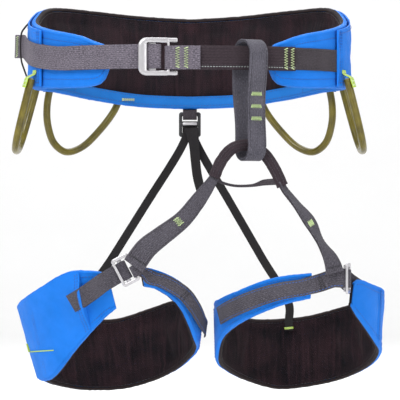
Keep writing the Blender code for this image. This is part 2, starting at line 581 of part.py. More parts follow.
# Elastic risers, from the rear buckle down to the inside of the leg pads.
for side, leg, table, sign, top_y, phi in (
    ("left", LEG_L, LEG_L_EDGE, -1, 0.1085, -200.0),
    ("right", LEG_R, LEG_R_EDGE, 1, 0.1160, -174.5),
):
    foot = [leg_at(leg, table, phi, v, off) for v, off in ((1.22, -0.0024), (0.98, -0.0018), (0.84, -0.0016))]
    start = Vector((sign * 0.0004, top_y, -0.0695))
    mid = Vector((sign * 0.0110, top_y - 0.0018, -0.0925))
    along_pad = leg_at(leg, table, phi + 2, 0.9, 0) - leg_at(leg, table, phi - 2, 0.9, 0)
    along_pad = along_pad.normalized() * math.copysign(1, along_pad.x)
    flat = Vector((0.88, 0, sign * 0.46))
    ribbon("elastic_riser_" + side,
           [start, mid, mid.lerp(foot[0], 0.35), mid.lerp(foot[0], 0.7)] + foot,
           0.0092, 0.0013, [flat] * 3 + [flat.lerp(along_pad, 0.5)] + [along_pad] * 3, ELASTIC, 28)
    tab = foot[2] + Vector((0, -0.0019, 0.0030))
    ribbon("riser_tab_" + side, [tab - along_pad * 0.0050, tab, tab + along_pad * 0.0050],
           0.0022, 0.0008, UP, LIME, 8)

panel("edge_tab_left", lambda phi, v, off: leg_at(LEG_L, LEG_L_EDGE, phi, 0.38 + 0.07 * v, off),
      span(-282, -279, 4), 0.0074, 0.0082, LIME)
bpy.context.view_layer.update()
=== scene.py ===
"""Climbing harness: the looks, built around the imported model.

Metres, +Z up, the front faces -Y. The origin is the middle of the waist opening, at the height of the
waist webbing. Angles round the belt and the leg loops are degrees from the front.
"""

import math

import bmesh
import bpy
from mathutils import Matrix, Vector, noise


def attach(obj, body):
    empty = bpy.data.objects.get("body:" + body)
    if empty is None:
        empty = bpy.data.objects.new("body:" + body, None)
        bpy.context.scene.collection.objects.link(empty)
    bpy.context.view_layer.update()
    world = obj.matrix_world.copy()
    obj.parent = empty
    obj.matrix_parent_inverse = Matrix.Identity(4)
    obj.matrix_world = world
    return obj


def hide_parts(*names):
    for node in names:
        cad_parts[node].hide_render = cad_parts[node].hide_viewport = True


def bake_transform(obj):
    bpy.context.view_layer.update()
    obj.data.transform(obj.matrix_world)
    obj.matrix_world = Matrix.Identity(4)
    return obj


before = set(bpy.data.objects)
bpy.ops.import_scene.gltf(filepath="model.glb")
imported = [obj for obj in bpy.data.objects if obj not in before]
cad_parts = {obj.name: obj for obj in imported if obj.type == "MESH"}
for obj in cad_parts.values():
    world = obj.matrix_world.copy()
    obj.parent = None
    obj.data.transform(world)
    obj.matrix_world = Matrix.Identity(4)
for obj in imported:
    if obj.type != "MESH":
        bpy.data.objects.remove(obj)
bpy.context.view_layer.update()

# Waist belt: inner half axes of the ring, and how far each layer lies outside them.
WAIST_A, WAIST_B = 0.164, 0.108
PAD_OUT, SHELL_IN, SHELL_OUT = 0.0060, 0.0064, 0.0082
LOWER_STRAP, UPPER_STRAP, COVER = 0.0097, 0.0147, 0.0119
WEB_W, WEB_T = 0.0255, 0.0018
TIE_IN_Z, TIE_IN_T = -0.001, 0.0030

# Edge heights of the waist belt: angle from the front in degrees, top, bottom.
WAIST_EDGE = [
    (30.5, 0.0080, -0.0110), (32, 0.0125, -0.0210), (35, 0.0155, -0.0270), (44, 0.0235, -0.0293),
    (64, 0.0325, -0.0285), (80, 0.0400, -0.0275), (95, 0.0490, -0.0275), (108, 0.0600, -0.0277),
    (120, 0.0635, -0.0290), (141, 0.0620, -0.0362), (160, 0.0580, -0.0425), (180, 0.0550, -0.0446),
]

# Belay loop.
BELAY_C = Vector((0.0640, -0.1115, 0.0))
BELAY_YAW, BELAY_HALF, BELAY_LOW, BELAY_W, BELAY_T = 32.0, 0.0150, 0.0122, 0.0220, 0.0026
BELAY_TOP, BELAY_BOTTOM = 0.0186, -0.1090

# Gear loops.
TUBE_R = 0.0041

# Rear ladder-lock buckle, and the points that the leg assembly turns about.
REAR = Vector((0.0, 0.1125, -0.0695))
ARCH_END_L = Vector((0.0262, -0.1240, -0.1265))
ARCH_END_R = Vector((0.0985, -0.1000, -0.1350))

# Leg loops: centre and half axes of the upper and lower edges, then the edge heights.
LEG_L = dict(cx=(-0.0775, -0.0858), cy=(-0.003, -0.005), a=(-0.0815, -0.0950), b=(0.074, 0.084))
LEG_R = dict(cx=(0.1195, 0.1200), cy=(-0.003, -0.005), a=(0.0840, 0.0860), b=(0.076, 0.084))
# Angle from the front towards the outer side, top, bottom.
LEG_L_EDGE = [
    (-20, -0.2225, -0.2410), (-30, -0.2250, -0.2445), (-50, -0.239, -0.262), (-75, -0.266, -0.300),
    (-95, -0.274, -0.312), (-115, -0.268, -0.325), (-135, -0.264, -0.340), (-156, -0.274, -0.353),
    (-180, -0.286, -0.362), (-210, -0.283, -0.362), (-240, -0.275, -0.354), (-270, -0.2675, -0.344),
    (-290, -0.259, -0.345), (-310, -0.247, -0.337), (-335, -0.2275, -0.300), (-352, -0.2262, -0.274),
    (-360, -0.2290, -0.264),
]
LEG_R_EDGE = [
    (6, -0.2285, -0.2535), (-10, -0.2310, -0.2590), (-25, -0.236, -0.267), (-50, -0.249, -0.283),
    (-72, -0.258, -0.300), (-90, -0.263, -0.322), (-120, -0.276, -0.340), (-146, -0.285, -0.354),
    (-167, -0.2858, -0.362), (-190, -0.282, -0.359), (-215, -0.2716, -0.350), (-240, -0.262, -0.336),
    (-270, -0.251, -0.316), (-290, -0.2455, -0.305), (-305, -0.241, -0.290), (-318, -0.236, -0.272),
    (-323, -0.239, -0.262),
]
LEG_PAD, LEG_SHELL = (0.0, 0.0048), (0.0054, 0.0070)
LEG_STRAP_T, LEG_STRAP_W = 0.0016, 0.0200


def spline(points, count):
    """`count` points along a smooth curve through tuples or vectors of any length."""
    rows = [tuple(p) for p in points]
    rows = [tuple(2 * a - b for a, b in zip(rows[0], rows[1]))] + rows
    rows.append(tuple(2 * a - b for a, b in zip(rows[-1], rows[-2])))
    knots = [0.0]
    for p, q in zip(rows, rows[1:]):
        knots.append(knots[-1] + max(math.dist(p[:3], q[:3]), 1e-9) ** 0.5)
    out = []
    for i in range(count):
        t = knots[1] + (knots[-2] - knots[1]) * i / (count - 1)
        k = 1
        while k < len(rows) - 3 and t > knots[k + 1]:
            k += 1
        p, u = rows[k - 1:k + 3], knots[k - 1:k + 3]

        def mix(a, b, ua, ub):
            w = (t - ua) / (ub - ua)
            return tuple(x + (y - x) * w for x, y in zip(a, b))

        a1, a2, a3 = (mix(p[j], p[j + 1], u[j], u[j + 1]) for j in range(3))
        b1, b2 = mix(a1, a2, u[0], u[2]), mix(a2, a3, u[1], u[3])
        out.append(mix(b1, b2, u[1], u[2]))
    return out


def edges_at(table, phi):
    """Top and bottom heights at an angle, smoothed between the table's rows."""
    rows = sorted(table)
    phi = min(max(phi, rows[0][0]), rows[-1][0])
    k = 0
    while k < len(rows) - 2 and phi > rows[k + 1][0]:
        k += 1

    def slope(i, column):
        lo, hi = max(i - 1, 0), min(i + 1, len(rows) - 1)
        return (rows[hi][column] - rows[lo][column]) / (rows[hi][0] - rows[lo][0])

    p, q = rows[k], rows[k + 1]
    width = q[0] - p[0]
    s = (phi - p[0]) / width
    out = []
    for column in (1, 2):
        h = (2 * s ** 3 - 3 * s ** 2 + 1) * p[column] + (3 * s ** 2 - 2 * s ** 3) * q[column]
        h += (s ** 3 - 2 * s ** 2 + s) * width * slope(k, column)
        h += (s ** 3 - s ** 2) * width * slope(k + 1, column)
        out.append(h)
    return out


def waist_at(phi, z, off):
    t = math.radians(phi)
    return Vector(((WAIST_A + off) * math.sin(t), -(WAIST_B + off) * math.cos(t), z))


def phi_of(x, off):
    return math.degrees(math.asin(x / (WAIST_A + off)))


def leg_at(leg, table, phi, v, off):
    """v runs from the lower edge, 0, to the upper edge, 1."""
    top, bottom = edges_at(table, phi)
    t = math.radians(phi)
    a = leg["a"][0] + (leg["a"][1] - leg["a"][0]) * v
    a += off * math.copysign(1, a)
    b = leg["b"][0] + (leg["b"][1] - leg["b"][0]) * v + off
    x = leg["cx"][0] + (leg["cx"][1] - leg["cx"][0]) * v + a * math.sin(t)
    y = leg["cy"][0] + (leg["cy"][1] - leg["cy"][0]) * v - b * math.cos(t)
    return Vector((x, y, bottom + (top - bottom) * v))


def span(start, end, count):
    return [start + (end - start) * i / (count - 1) for i in range(count)]


def frame_matrix(centre, u, w):
    """Local x along u, local y along w, local z out of the plate."""
    u = Vector(u).normalized()
    w = (Vector(w) - u * Vector(w).dot(u)).normalized()
    n = u.cross(w)
    return Matrix.Translation(centre) @ Matrix((u, w, n)).transposed().to_4x4()


def belt_edges(phi):
    """Top and bottom of the belt; its left half mirrors its right half."""
    return edges_at(WAIST_EDGE, phi if phi <= 180 else 360 - phi)


def waist_v(phi, v, off):
    """v runs from the belt's lower edge, 0, to its upper edge, 1."""
    top, bottom = belt_edges(phi)
    return waist_at(phi, bottom + (top - bottom) * v, off)


def strap_z(phi):
    """Height of the adjustable waist strap: it climbs towards the side."""
    far = max(0.0, min(1.0, (-phi - 48) / 42))
    return 0.0005 + 0.0175 * far ** 1.6


def leg_z(leg, table, phi, z, off):
    top, bottom = edges_at(table, phi)
    return leg_at(leg, table, phi, (z - bottom) / (top - bottom), off)


def lean_side(leg, table, phi, lean):
    """Direction of a strap's width on the leg's surface; lean is the strap's slope, as a tangent."""
    up = (leg_at(leg, table, phi, 1, 0) - leg_at(leg, table, phi, 0, 0)).normalized()
    tangent = (leg_at(leg, table, phi + 2, 0.5, 0) - leg_at(leg, table, phi - 2, 0.5, 0)).normalized()
    tangent *= math.copysign(1, tangent.x)
    tangent.z = 0
    return (up - tangent * lean).normalized()


# ---- materials ----
class Shade:
    """A node material. Its weave is read from the piece's own map, which is in metres along and across."""

    def __init__(self, name, colour, rough, **sockets):
        self.mat = bpy.data.materials.new(name)
        self.mat.use_nodes = True
        self.tree = self.mat.node_tree
        self.shader = self.tree.nodes["Principled BSDF"]
        self.shader.inputs["Base Color"].default_value = (*colour, 1)
        self.shader.inputs["Roughness"].default_value = rough
        for key, value in sockets.items():
            self.shader.inputs[key.replace("_", " ")].default_value = value

    def add(self, kind, *values, **settings):
        node = self.tree.nodes.new("ShaderNode" + kind)
        for key, value in settings.items():
            setattr(node, key, value)
        for i, value in enumerate(values):
            if value is None:
                continue
            if isinstance(value, bpy.types.NodeSocket):
                self.tree.links.new(value, node.inputs[i])
            else:
                node.inputs[i].default_value = value
        return node

    def math(self, operation, *values):
        return self.add("Math", *values, operation=operation).outputs[0]

    def times(self, a, b):
        return self.math("MULTIPLY", a, b)

    def plus(self, a, b):
        return self.math("ADD", a, b)

    def sine(self, value, pitch):
        return self.math("SINE", self.math("MULTIPLY_ADD", value, 2 * math.pi / pitch, 0.0))

    def stretched(self, along, across, along_scale, across_scale):
        """Noise coordinates with their own scale each way."""
        return self.add("CombineXYZ", self.times(along, along_scale), self.times(across, across_scale),
                        0.0).outputs[0]

    def along_across(self):
        split = self.add("SeparateXYZ", self.add("UVMap", uv_map="strap").outputs[0])
        return split.outputs[0], split.outputs[1]

    def position(self, scale):
        """The rest position on the piece, in metres times scale."""
        where = self.add("TexCoord").outputs["Object"]
        return self.add("Mapping", where, None, None, (scale, scale, scale)).outputs[0]

    def noise(self, vector, scale, detail=3.0, rough=0.55):
        node = self.add("TexNoise")
        self.tree.links.new(vector, node.inputs["Vector"])
        node.inputs["Scale"].default_value = scale
        node.inputs["Detail"].default_value = detail
        node.inputs["Roughness"].default_value = rough
        return node.outputs["Fac"]

    def between(self, value, low, high, out_low=0.0, out_high=1.0):
        return self.add("MapRange", value, low, high, out_low, out_high).outputs[0]

    def mix(self, share, a, b):
        node = self.add("Mix", data_type="RGBA")
        for index, value in ((0, share), (6, a), (7, b)):
            if isinstance(value, bpy.types.NodeSocket):
                self.tree.links.new(value, node.inputs[index])
            else:
                node.inputs[index].default_value = value if index == 0 else (*value, 1)
        return node.outputs[2]

    def paint(self, colour=None, rough=None, height=None, strength=0.6, depth=0.0003):
        links = self.tree.links
        if colour is not None:
            links.new(colour, self.shader.inputs["Base Color"])
        if rough is not None:
            links.new(rough, self.shader.inputs["Roughness"])
        if height is not None:
            bump = self.add("Bump")
            bump.inputs["Strength"].default_value = strength
            bump.inputs["Distance"].default_value = depth
            links.new(height, bump.inputs["Height"])
            links.new(bump.outputs[0], self.shader.inputs["Normal"])
        return self.mat


def scaled(colour, factor):
    return tuple(min(1.0, c * factor) for c in colour)


def webbing(name, colour, light, rib=0.0016, pick=0.0019, speckle=0.5):
    """Woven tape: lengthwise ribs crossed by picks, with yarns of a lighter tone between, and painted shade
    in the grooves between the ribs.
    """
    s = Shade(name, colour, 0.85, Sheen_Weight=0.06, Sheen_Roughness=0.45, Specular_IOR_Level=0.2)
    along, across = s.along_across()
    column = s.math("FLOOR", s.math("DIVIDE", across, rib))
    ribs = s.math("ABSOLUTE", s.sine(across, rib * 2))
    picks = s.sine(s.math("MULTIPLY_ADD", column, pick / 2, along), pick)
    height = s.plus(ribs, s.times(picks, 0.55))
    yarn = s.noise(s.stretched(along, across, 420, 1500), 1.0, 2.0, 0.6)
    height = s.plus(height, s.times(yarn, 0.8))
    tone = s.mix(s.between(yarn, 0.50 - 0.08 * speckle, 0.62, 0.0, speckle), colour, light)
    # Painted shade: the grooves between the ribs are darkened.
    tone = s.mix(s.between(ribs, 0.0, 0.55, 0.55, 0.0), tone, scaled(colour, 0.25))
    patch = s.noise(s.position(1.0), 55.0, 4.0)
    tone = s.mix(s.between(patch, 0.3, 0.75, 0.0, 0.35), tone, scaled(light, 0.8))
    return s.paint(tone, s.between(yarn, 0.3, 0.7, 0.72, 0.95), height, 0.75, 0.00028)


def ripstop(name, colour, shade=0.6, cell=0.0011):
    """Plain woven nylon with a fine grid and painted shade in the hollows of its weave, faded a little where
    it rubs.
    """
    s = Shade(name, colour, 0.62, Sheen_Weight=0.04, Sheen_Roughness=0.4, Specular_IOR_Level=0.22)
    along, across = s.along_across()
    warp, weft = s.sine(along, cell), s.sine(across, cell)
    weave = s.times(warp, weft)
    fine = s.noise(s.position(1.0), 2300.0, 2.0)
    broad = s.noise(s.position(1.0), 34.0, 5.0, 0.6)
    height = s.plus(weave, s.times(fine, 0.9))
    height = s.plus(height, s.times(broad, 6.0))
    # Painted shade: the low points of the weave are darkened.
    tone = s.mix(s.between(weave, -1.0, 0.2, 0.22, 0.0), colour, scaled(colour, 0.45))
    tone = s.mix(s.between(broad, 0.3, 0.7, 0.0, shade), tone, scaled(colour, 0.72))
    tone = s.mix(s.between(fine, 0.52, 0.8, 0.0, 0.25), tone, scaled(colour, 1.6))
    return s.paint(tone, s.between(broad, 0.3, 0.7, 0.55, 0.8), height, 0.6, 0.0003)


def spacer(name, colour, hole=0.0026, tint=(0.028, 0.013, 0.017)):
    """Knitted spacer mesh: small round holes in shifted rows, with creases that run up and down. Painted
    shade darkens the holes and the crease troughs, and a painted highlight lightens the crease ridges.
    """
    s = Shade(name, colour, 0.9, Sheen_Weight=0.03, Sheen_Roughness=0.5, Specular_IOR_Level=0.15)
    along, across = s.along_across()
    row = s.math("FLOOR", s.math("DIVIDE", across, hole * 0.8))
    x = s.math("FRACT", s.math("DIVIDE", s.math("MULTIPLY_ADD", row, hole / 2, along), hole))
    y = s.math("FRACT", s.math("DIVIDE", across, hole * 0.8))
    dx, dy = s.math("SUBTRACT", x, 0.5), s.math("SUBTRACT", y, 0.5)
    far = s.math("SQRT", s.plus(s.times(dx, dx), s.times(dy, dy)))
    wall = s.between(far, 0.20, 0.40)
    knit = s.noise(s.position(1.0), 1500.0, 2.0)
    broad = s.noise(s.position(1.0), 30.0, 4.0)
    crease = s.noise(s.stretched(along, across, 260, 16), 1.0, 4.0, 0.6)
    # Painted shade: the holes are darker than the walls between them.
    tone = s.mix(wall, scaled(colour, 0.6), colour)
    tone = s.mix(s.between(broad, 0.35, 0.7, 0.0, 0.8), tone, tint)
    # Painted highlight on the crease ridges, then painted shade in the crease troughs.
    tone = s.mix(s.between(crease, 0.5, 0.75, 0.0, 0.6), tone, scaled(tint, 1.5))
    tone = s.mix(s.between(crease, 0.45, 0.25, 0.0, 0.8), tone, scaled(colour, 0.3))
    height = s.plus(wall, s.times(knit, 0.5))
    height = s.plus(height, s.times(crease, 3.2))
    return s.paint(tone, s.between(knit, 0.3, 0.7, 0.8, 0.98), height, 0.8, 0.0006)


def elastic(name, colour, light):
    """Ribbed elastic: fine ribs across the length, with a painted highlight on their crests."""
    s = Shade(name, colour, 0.8, Sheen_Weight=0.04, Sheen_Roughness=0.4, Specular_IOR_Level=0.2)
    along, across = s.along_across()
    ribs = s.sine(along, 0.0012)
    cords = s.math("ABSOLUTE", s.sine(across, 0.0022))
    fine = s.noise(s.position(1.0), 1800.0, 2.0)
    height = s.plus(s.times(ribs, 0.6), s.plus(cords, fine))
    # Painted highlight: the crests of the ribs are mixed towards the lighter colour.
    tone = s.mix(s.between(ribs, -0.2, 1.0, 0.0, 0.55), colour, light)
    return s.paint(tone, s.between(fine, 0.3, 0.7, 0.7, 0.92), height, 0.7, 0.00025)


def thread(name, colour):
    s = Shade(name, colour, 0.6, Sheen_Weight=0.3, Sheen_Roughness=0.4)
    fine = s.noise(s.position(1.0), 2600.0, 2.0)
    tone = s.mix(s.between(fine, 0.35, 0.7, 0.0, 0.5), colour, scaled(colour, 0.55))
    return s.paint(tone, s.between(fine, 0.3, 0.7, 0.5, 0.75), fine, 0.5, 0.0001)


def metal(name, colour, rough):
    """Satin aluminium with fine drawn lines, its tone a little darker in random patches."""
    s = Shade(name, colour, rough, Metallic=1.0, Anisotropic=0.25)
    line = s.add("Mapping", s.add("TexCoord").outputs["Object"], None, None, (260, 260, 2600)).outputs[0]
    drawn = s.noise(line, 1.0, 3.0)
    patch = s.noise(s.position(1.0), 160.0, 4.0)
    tone = s.mix(s.between(patch, 0.35, 0.7, 0.0, 0.5), colour, scaled(colour, 0.82))
    rough_out = s.between(s.plus(drawn, patch), 0.7, 1.3, rough - 0.07, rough + 0.13)
    return s.paint(tone, rough_out, drawn, 0.25, 0.00008)


def moulded(name, colour, rough):
    s = Shade(name, colour, rough, Specular_IOR_Level=0.5)
    grain = s.noise(s.position(1.0), 1400.0, 3.0)
    patch = s.noise(s.position(1.0), 90.0, 3.0)
    tone = s.mix(s.between(patch, 0.3, 0.7, 0.0, 0.7), colour, scaled(colour, 1.9))
    return s.paint(tone, s.between(grain, 0.3, 0.7, rough - 0.08, rough + 0.12), grain, 0.35, 0.00012)


def vinyl(name, colour, dark):
    """Glossy tube over cord: clear skin, darker where it is thick, with faint scuffs along it."""
    s = Shade(name, colour, 0.26, Specular_IOR_Level=0.4, Coat_Weight=0.16, Coat_Roughness=0.15)
    along, across = s.along_across()
    stripes = s.noise(s.stretched(along, across, 60, 900), 1.0, 3.0)
    patch = s.noise(s.position(1.0), 70.0, 4.0)
    tone = s.mix(s.between(patch, 0.3, 0.7, 0.0, 0.85), colour, dark)
    tone = s.mix(s.between(stripes, 0.52, 0.7, 0.0, 0.4), tone, scaled(colour, 1.7))
    return s.paint(tone, s.between(stripes, 0.3, 0.7, 0.2, 0.42), stripes, 0.25, 0.00015)


BLUE = ripstop("blue_fabric", (0.005, 0.190, 0.760))
BAND_BLUE = ripstop("blue_band", (0.012, 0.190, 0.640))
MESH = spacer("black_mesh", (0.0130, 0.0100, 0.0135))
LEG_MESH = spacer("black_leg_mesh", (0.0046, 0.0036, 0.0062))
# The second colour of each elastic, edge_binding here and black_elastic below, is its painted highlight on
# the rib crests.
BINDING = elastic("edge_binding", (0.012, 0.008, 0.010), (0.035, 0.020, 0.018))
GREY = webbing("grey_webbing", (0.052, 0.046, 0.060), (0.255, 0.225, 0.275), rib=0.0021, pick=0.0026,
               speckle=0.75)
LEG_GREY = webbing("leg_webbing", (0.036, 0.032, 0.041), (0.150, 0.142, 0.170), rib=0.0019, pick=0.0024,
                   speckle=0.6)
DARK = webbing("dark_webbing", (0.033, 0.027, 0.033), (0.095, 0.083, 0.096))
TIE = webbing("tie_in_webbing", (0.022, 0.014, 0.019), (0.070, 0.052, 0.062), rib=0.0030, pick=0.0014)
SLATE = webbing("slate_webbing", (0.048, 0.046, 0.060), (0.195, 0.185, 0.225), rib=0.0022,
                pick=0.0015)
ELASTIC = elastic("black_elastic", (0.013, 0.012, 0.013), (0.040, 0.036, 0.038))
LIME = webbing("lime_webbing", (0.42, 0.62, 0.04), (0.66, 0.80, 0.20), rib=0.0011, pick=0.0011)
THREAD = thread("pale_lime_thread", (0.60, 0.74, 0.38))
BLUE_THREAD = thread("blue_thread", (0.01, 0.10, 0.42))
DARK_THREAD = thread("dark_thread", (0.016, 0.014, 0.022))
PALE_THREAD = thread("pale_thread", (0.50, 0.56, 0.55))
SILVER = metal("satin_aluminium", (0.53, 0.52, 0.54), 0.34)
PLASTIC = moulded("black_plastic", (0.012, 0.012, 0.014), 0.42)
OLIVE = vinyl("olive_tube", (0.145, 0.115, 0.005), (0.050, 0.038, 0.002))
PALE = ripstop("pale_tag", (0.50, 0.56, 0.30), 0.4, 0.0009)
CORE = moulded("tube_end", (0.25, 0.26, 0.20), 0.6)


# ---- pieces ----
class Piece:
    """A mesh under construction, with several materials and a map in metres."""

    def __init__(self, name):
        self.name = name
        self.verts, self.faces, self.maps, self.marks, self.mats = [], [], [], [], []

    def slot_of(self, mat):
        if mat not in self.mats:
            self.mats.append(mat)
        return self.mats.index(mat)

    def face(self, corners, mat, where=None):
        self.faces.append(tuple(corners))
        self.marks.append(self.slot_of(mat))
        self.maps.append(where or [(0.0, 0.0)] * len(corners))

    def loft(self, rings, mat, closed=False, caps=True, across=None):
        """Faces through rings of points; the map runs along the rings' middles and round each ring."""
        n, base = len(rings[0]), len(self.verts)
        self.verts += [Vector(p) for ring in rings for p in ring]
        mids = [sum((Vector(p) for p in ring), Vector()) / n for ring in rings]
        run = [0.0]
        for p, q in zip(mids, mids[1:] + mids[:1]):
            run.append(run[-1] + (q - p).length)
        if across is None:
            across, ring = [0.0], rings[len(rings) // 2]
            for p, q in zip(ring, ring[1:] + ring[:1]):
                across.append(across[-1] + (Vector(q) - Vector(p)).length)
        for i in range(len(rings) if closed else len(rings) - 1):
            j = (i + 1) % len(rings)
            for k in range(n):
                m = (k + 1) % n
                ids = [base + i * n + k, base + i * n + m, base + j * n + m, base + j * n + k]
                self.face(ids, mat, [(run[i], across[k]), (run[i], across[k + 1]),
                                     (run[i + 1], across[k + 1]), (run[i + 1], across[k])])
        if caps and not closed:
            for ring, first in ((list(reversed(range(n))), base),
                                (list(range(n)), base + (len(rings) - 1) * n)):
                self.face([first + k for k in ring], mat, [(across[k], 0.0) for k in ring])
        return base

    def build(self, body, slot, replaced=(), smooth=40.0):
        mesh = bpy.data.meshes.new(self.name)
        mesh.from_pydata([tuple(v) for v in self.verts], [], self.faces)
        layer = mesh.uv_layers.new(name="strap")
        spots = [spot for face in self.maps for spot in face]
        layer.data.foreach_set("uv", [x for spot in spots for x in spot])
        mesh.polygons.foreach_set("material_index", self.marks)
        for mat in self.mats:
            mesh.materials.append(mat)
        mesh.polygons.foreach_set("use_smooth", [True] * len(mesh.polygons))
        obj = bpy.data.objects.new(self.name, mesh)
        bpy.context.collection.objects.link(obj)
        normals_out(obj)
        mesh.set_sharp_from_angle(angle=math.radians(smooth))
        if isinstance(body, tuple):
            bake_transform(obj)
        else:
            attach(obj, body)
        if replaced:
            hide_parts(*([replaced] if isinstance(replaced, str) else replaced))
        return obj


def normals_out(obj):
    bm = bmesh.new()
    bm.from_mesh(obj.data)
    bmesh.ops.recalc_face_normals(bm, faces=bm.faces)
    bm.to_mesh(obj.data)
    bm.free()


def wrinkle(p, scale, amount, seed):
    """Soft folds: smooth noise at two sizes."""
    q = Vector(p) * scale + Vector((seed, seed * 0.7, -seed))
    return (noise.noise(q) + 0.5 * noise.noise(q * 2.3)) * amount


class Strap:
    """A tape with rounded selvedges. on(s, a, lift) is a point on its upper face."""

    def __init__(self, piece, points, width, thick, side, mat, count=140, ripple=0.0, caps=True, seed=0.0):
        sides = side if isinstance(side, list) else [side] * len(points)
        widths = width if isinstance(width, list) else [width] * len(points)
        rows = spline([(*p, *s, w) for p, s, w in zip(points, sides, widths)], count)
        self.mids = [Vector(r[:3]) for r in rows]
        self.frames, rings = [], []
        run = 0.0
        for i, row in enumerate(rows):
            along = self.mids[min(i + 1, count - 1)] - self.mids[max(i - 1, 0)]
            across = Vector(row[3:6])
            across = (across - along * across.dot(along) / along.length_squared).normalized()
            up = along.cross(across).normalized()
            self.frames.append((along.normalized(), across, up, row[6], thick))
            half, t = row[6] / 2, thick / 2
            run += (self.mids[i] - self.mids[i - 1]).length if i else 0.0
            wave = ripple * noise.noise(Vector((run * 90 + seed, seed, 0.3)))
            ring = []
            for a, h in ((1.0, 0.45), (0.93, 1.0), (0.6, 0.86), (0.2, 0.86), (-0.2, 0.86), (-0.6, 0.86),
                         (-0.93, 1.0), (-1.0, 0.45), (-1.0, -0.45), (-0.93, -1.0), (-0.3, -0.86),
                         (0.3, -0.86), (0.93, -1.0), (1.0, -0.45)):
                edge = ripple * 0.8 * noise.noise(Vector((run * 130 + 9 * a, seed + 3, a)))
                ring.append(self.mids[i] + across * a * (half + edge) + up * (h * t + wave))
            rings.append(ring)
        width_mid = widths[len(widths) // 2]
        profile = [0.5, 0.46, 0.3, 0.1, -0.1, -0.3, -0.46, -0.5, -0.5, -0.46, -0.15, 0.15, 0.46, 0.5, 0.5]
        piece.loft(rings, mat, caps=caps, across=[x * width_mid for x in profile])
        self.count, self.piece = count, piece

    def on(self, s, a, lift=0.0):
        """s runs 0 to 1 along the strap, a is -1 to 1 across it; lift is above the upper face."""
        x = min(max(s, 0.0), 1.0) * (self.count - 1)
        i = min(int(x), self.count - 2)
        mid = self.mids[i].lerp(self.mids[i + 1], x - i)
        along, across, up, width, thick = self.frames[i + (x - i > 0.5)]
        side = 1 if lift >= 0 else -1
        return mid + across * a * width / 2 + up * (side * thick * 0.46 + lift)

    def length(self):
        return sum((q - p).length for p, q in zip(self.mids, self.mids[1:]))


def cord_along(piece, points, radius, mat, sides=6, flat=1.0, up=None):
    points = [Vector(p) for p in points]
    rings = []
    last = Vector(up) if up else Vector((0.31, 0.2, 0.93))
    for i, mid in enumerate(points):
        along = (points[min(i + 1, len(points) - 1)] - points[max(i - 1, 0)]).normalized()
        b = last - along * last.dot(along)
        b = b.normalized() if b.length > 1e-6 else along.orthogonal().normalized()
        if up is None:
            last = b
        c = along.cross(b)
        r = radius(i / (len(points) - 1)) if callable(radius) else radius
        rings.append([mid + b * r * flat * math.cos(2 * math.pi * k / sides)
                      + c * r * math.sin(2 * math.pi * k / sides) for k in range(sides)])
    piece.loft(rings, mat)


def resample(points, pitch):
    """Points every `pitch` metres along a polyline, each with its direction."""
    points = [Vector(p) for p in points]
    out, left = [], pitch / 2
    for p, q in zip(points, points[1:]):
        size = (q - p).length
        while left < size:
            out.append((p.lerp(q, left / size), (q - p) / size))
            left += pitch
        left -= size
    return out


def stitches(piece, points, mat, pitch=0.0034, share=0.68, radius=0.00032):
    """A row of separate lock stitches lying along a line."""
    for mid, along in resample(points, pitch):
        half = along * pitch * share / 2
        cord_along(piece, [mid - half, mid - half * 0.6, mid + half * 0.6, mid + half],
                   lambda s: radius * (0.45 if s < 0.1 or s > 0.9 else 1.0), mat, 5)


def seam_line(piece, points, pitch=0.0034):
    """A row of the heavier blue thread."""
    stitches(piece, points, BLUE_THREAD, pitch, radius=0.0004)


def zigzag(piece, on, s, a0, a1, length, mat, step=0.0011, radius=0.00036, lift=0.0002):
    """A bar tack: thread to and fro over a narrow band, from side to side of the strap."""
    s0, s1 = s
    count = max(4, int(length / step))
    points = []
    for k in range(count + 1):
        a = a0 + (a1 - a0) * k / count
        points.append(on(s0 if k % 2 else s1, a, lift))
    cord_along(piece, points, radius, mat, 5)


def tack(piece, strap, s, a0, a1, band, mat, **kw):
    """A bar tack across a strap, `band` metres wide along it."""
    half = band / 2 / strap.length()
    width = strap.frames[int(s * (strap.count - 1))][3]
    zigzag(piece, strap.on, (s - half, s + half), a0, a1, abs(a1 - a0) * width / 2, mat, **kw)


def tape_rows(piece, strap, mat, s0=0.02, s1=0.98, sides=(-0.84, 0.84), pitch=0.0034, lift=0.0001,
              radius=0.0003):
    """Stitch rows that run the length of a strap."""
    for a in sides:
        count = max(8, int(strap.count * (s1 - s0)))
        points = [strap.on(s0 + (s1 - s0) * k / count, a, lift) for k in range(count + 1)]
        stitches(piece, points, mat, pitch, radius=radius)


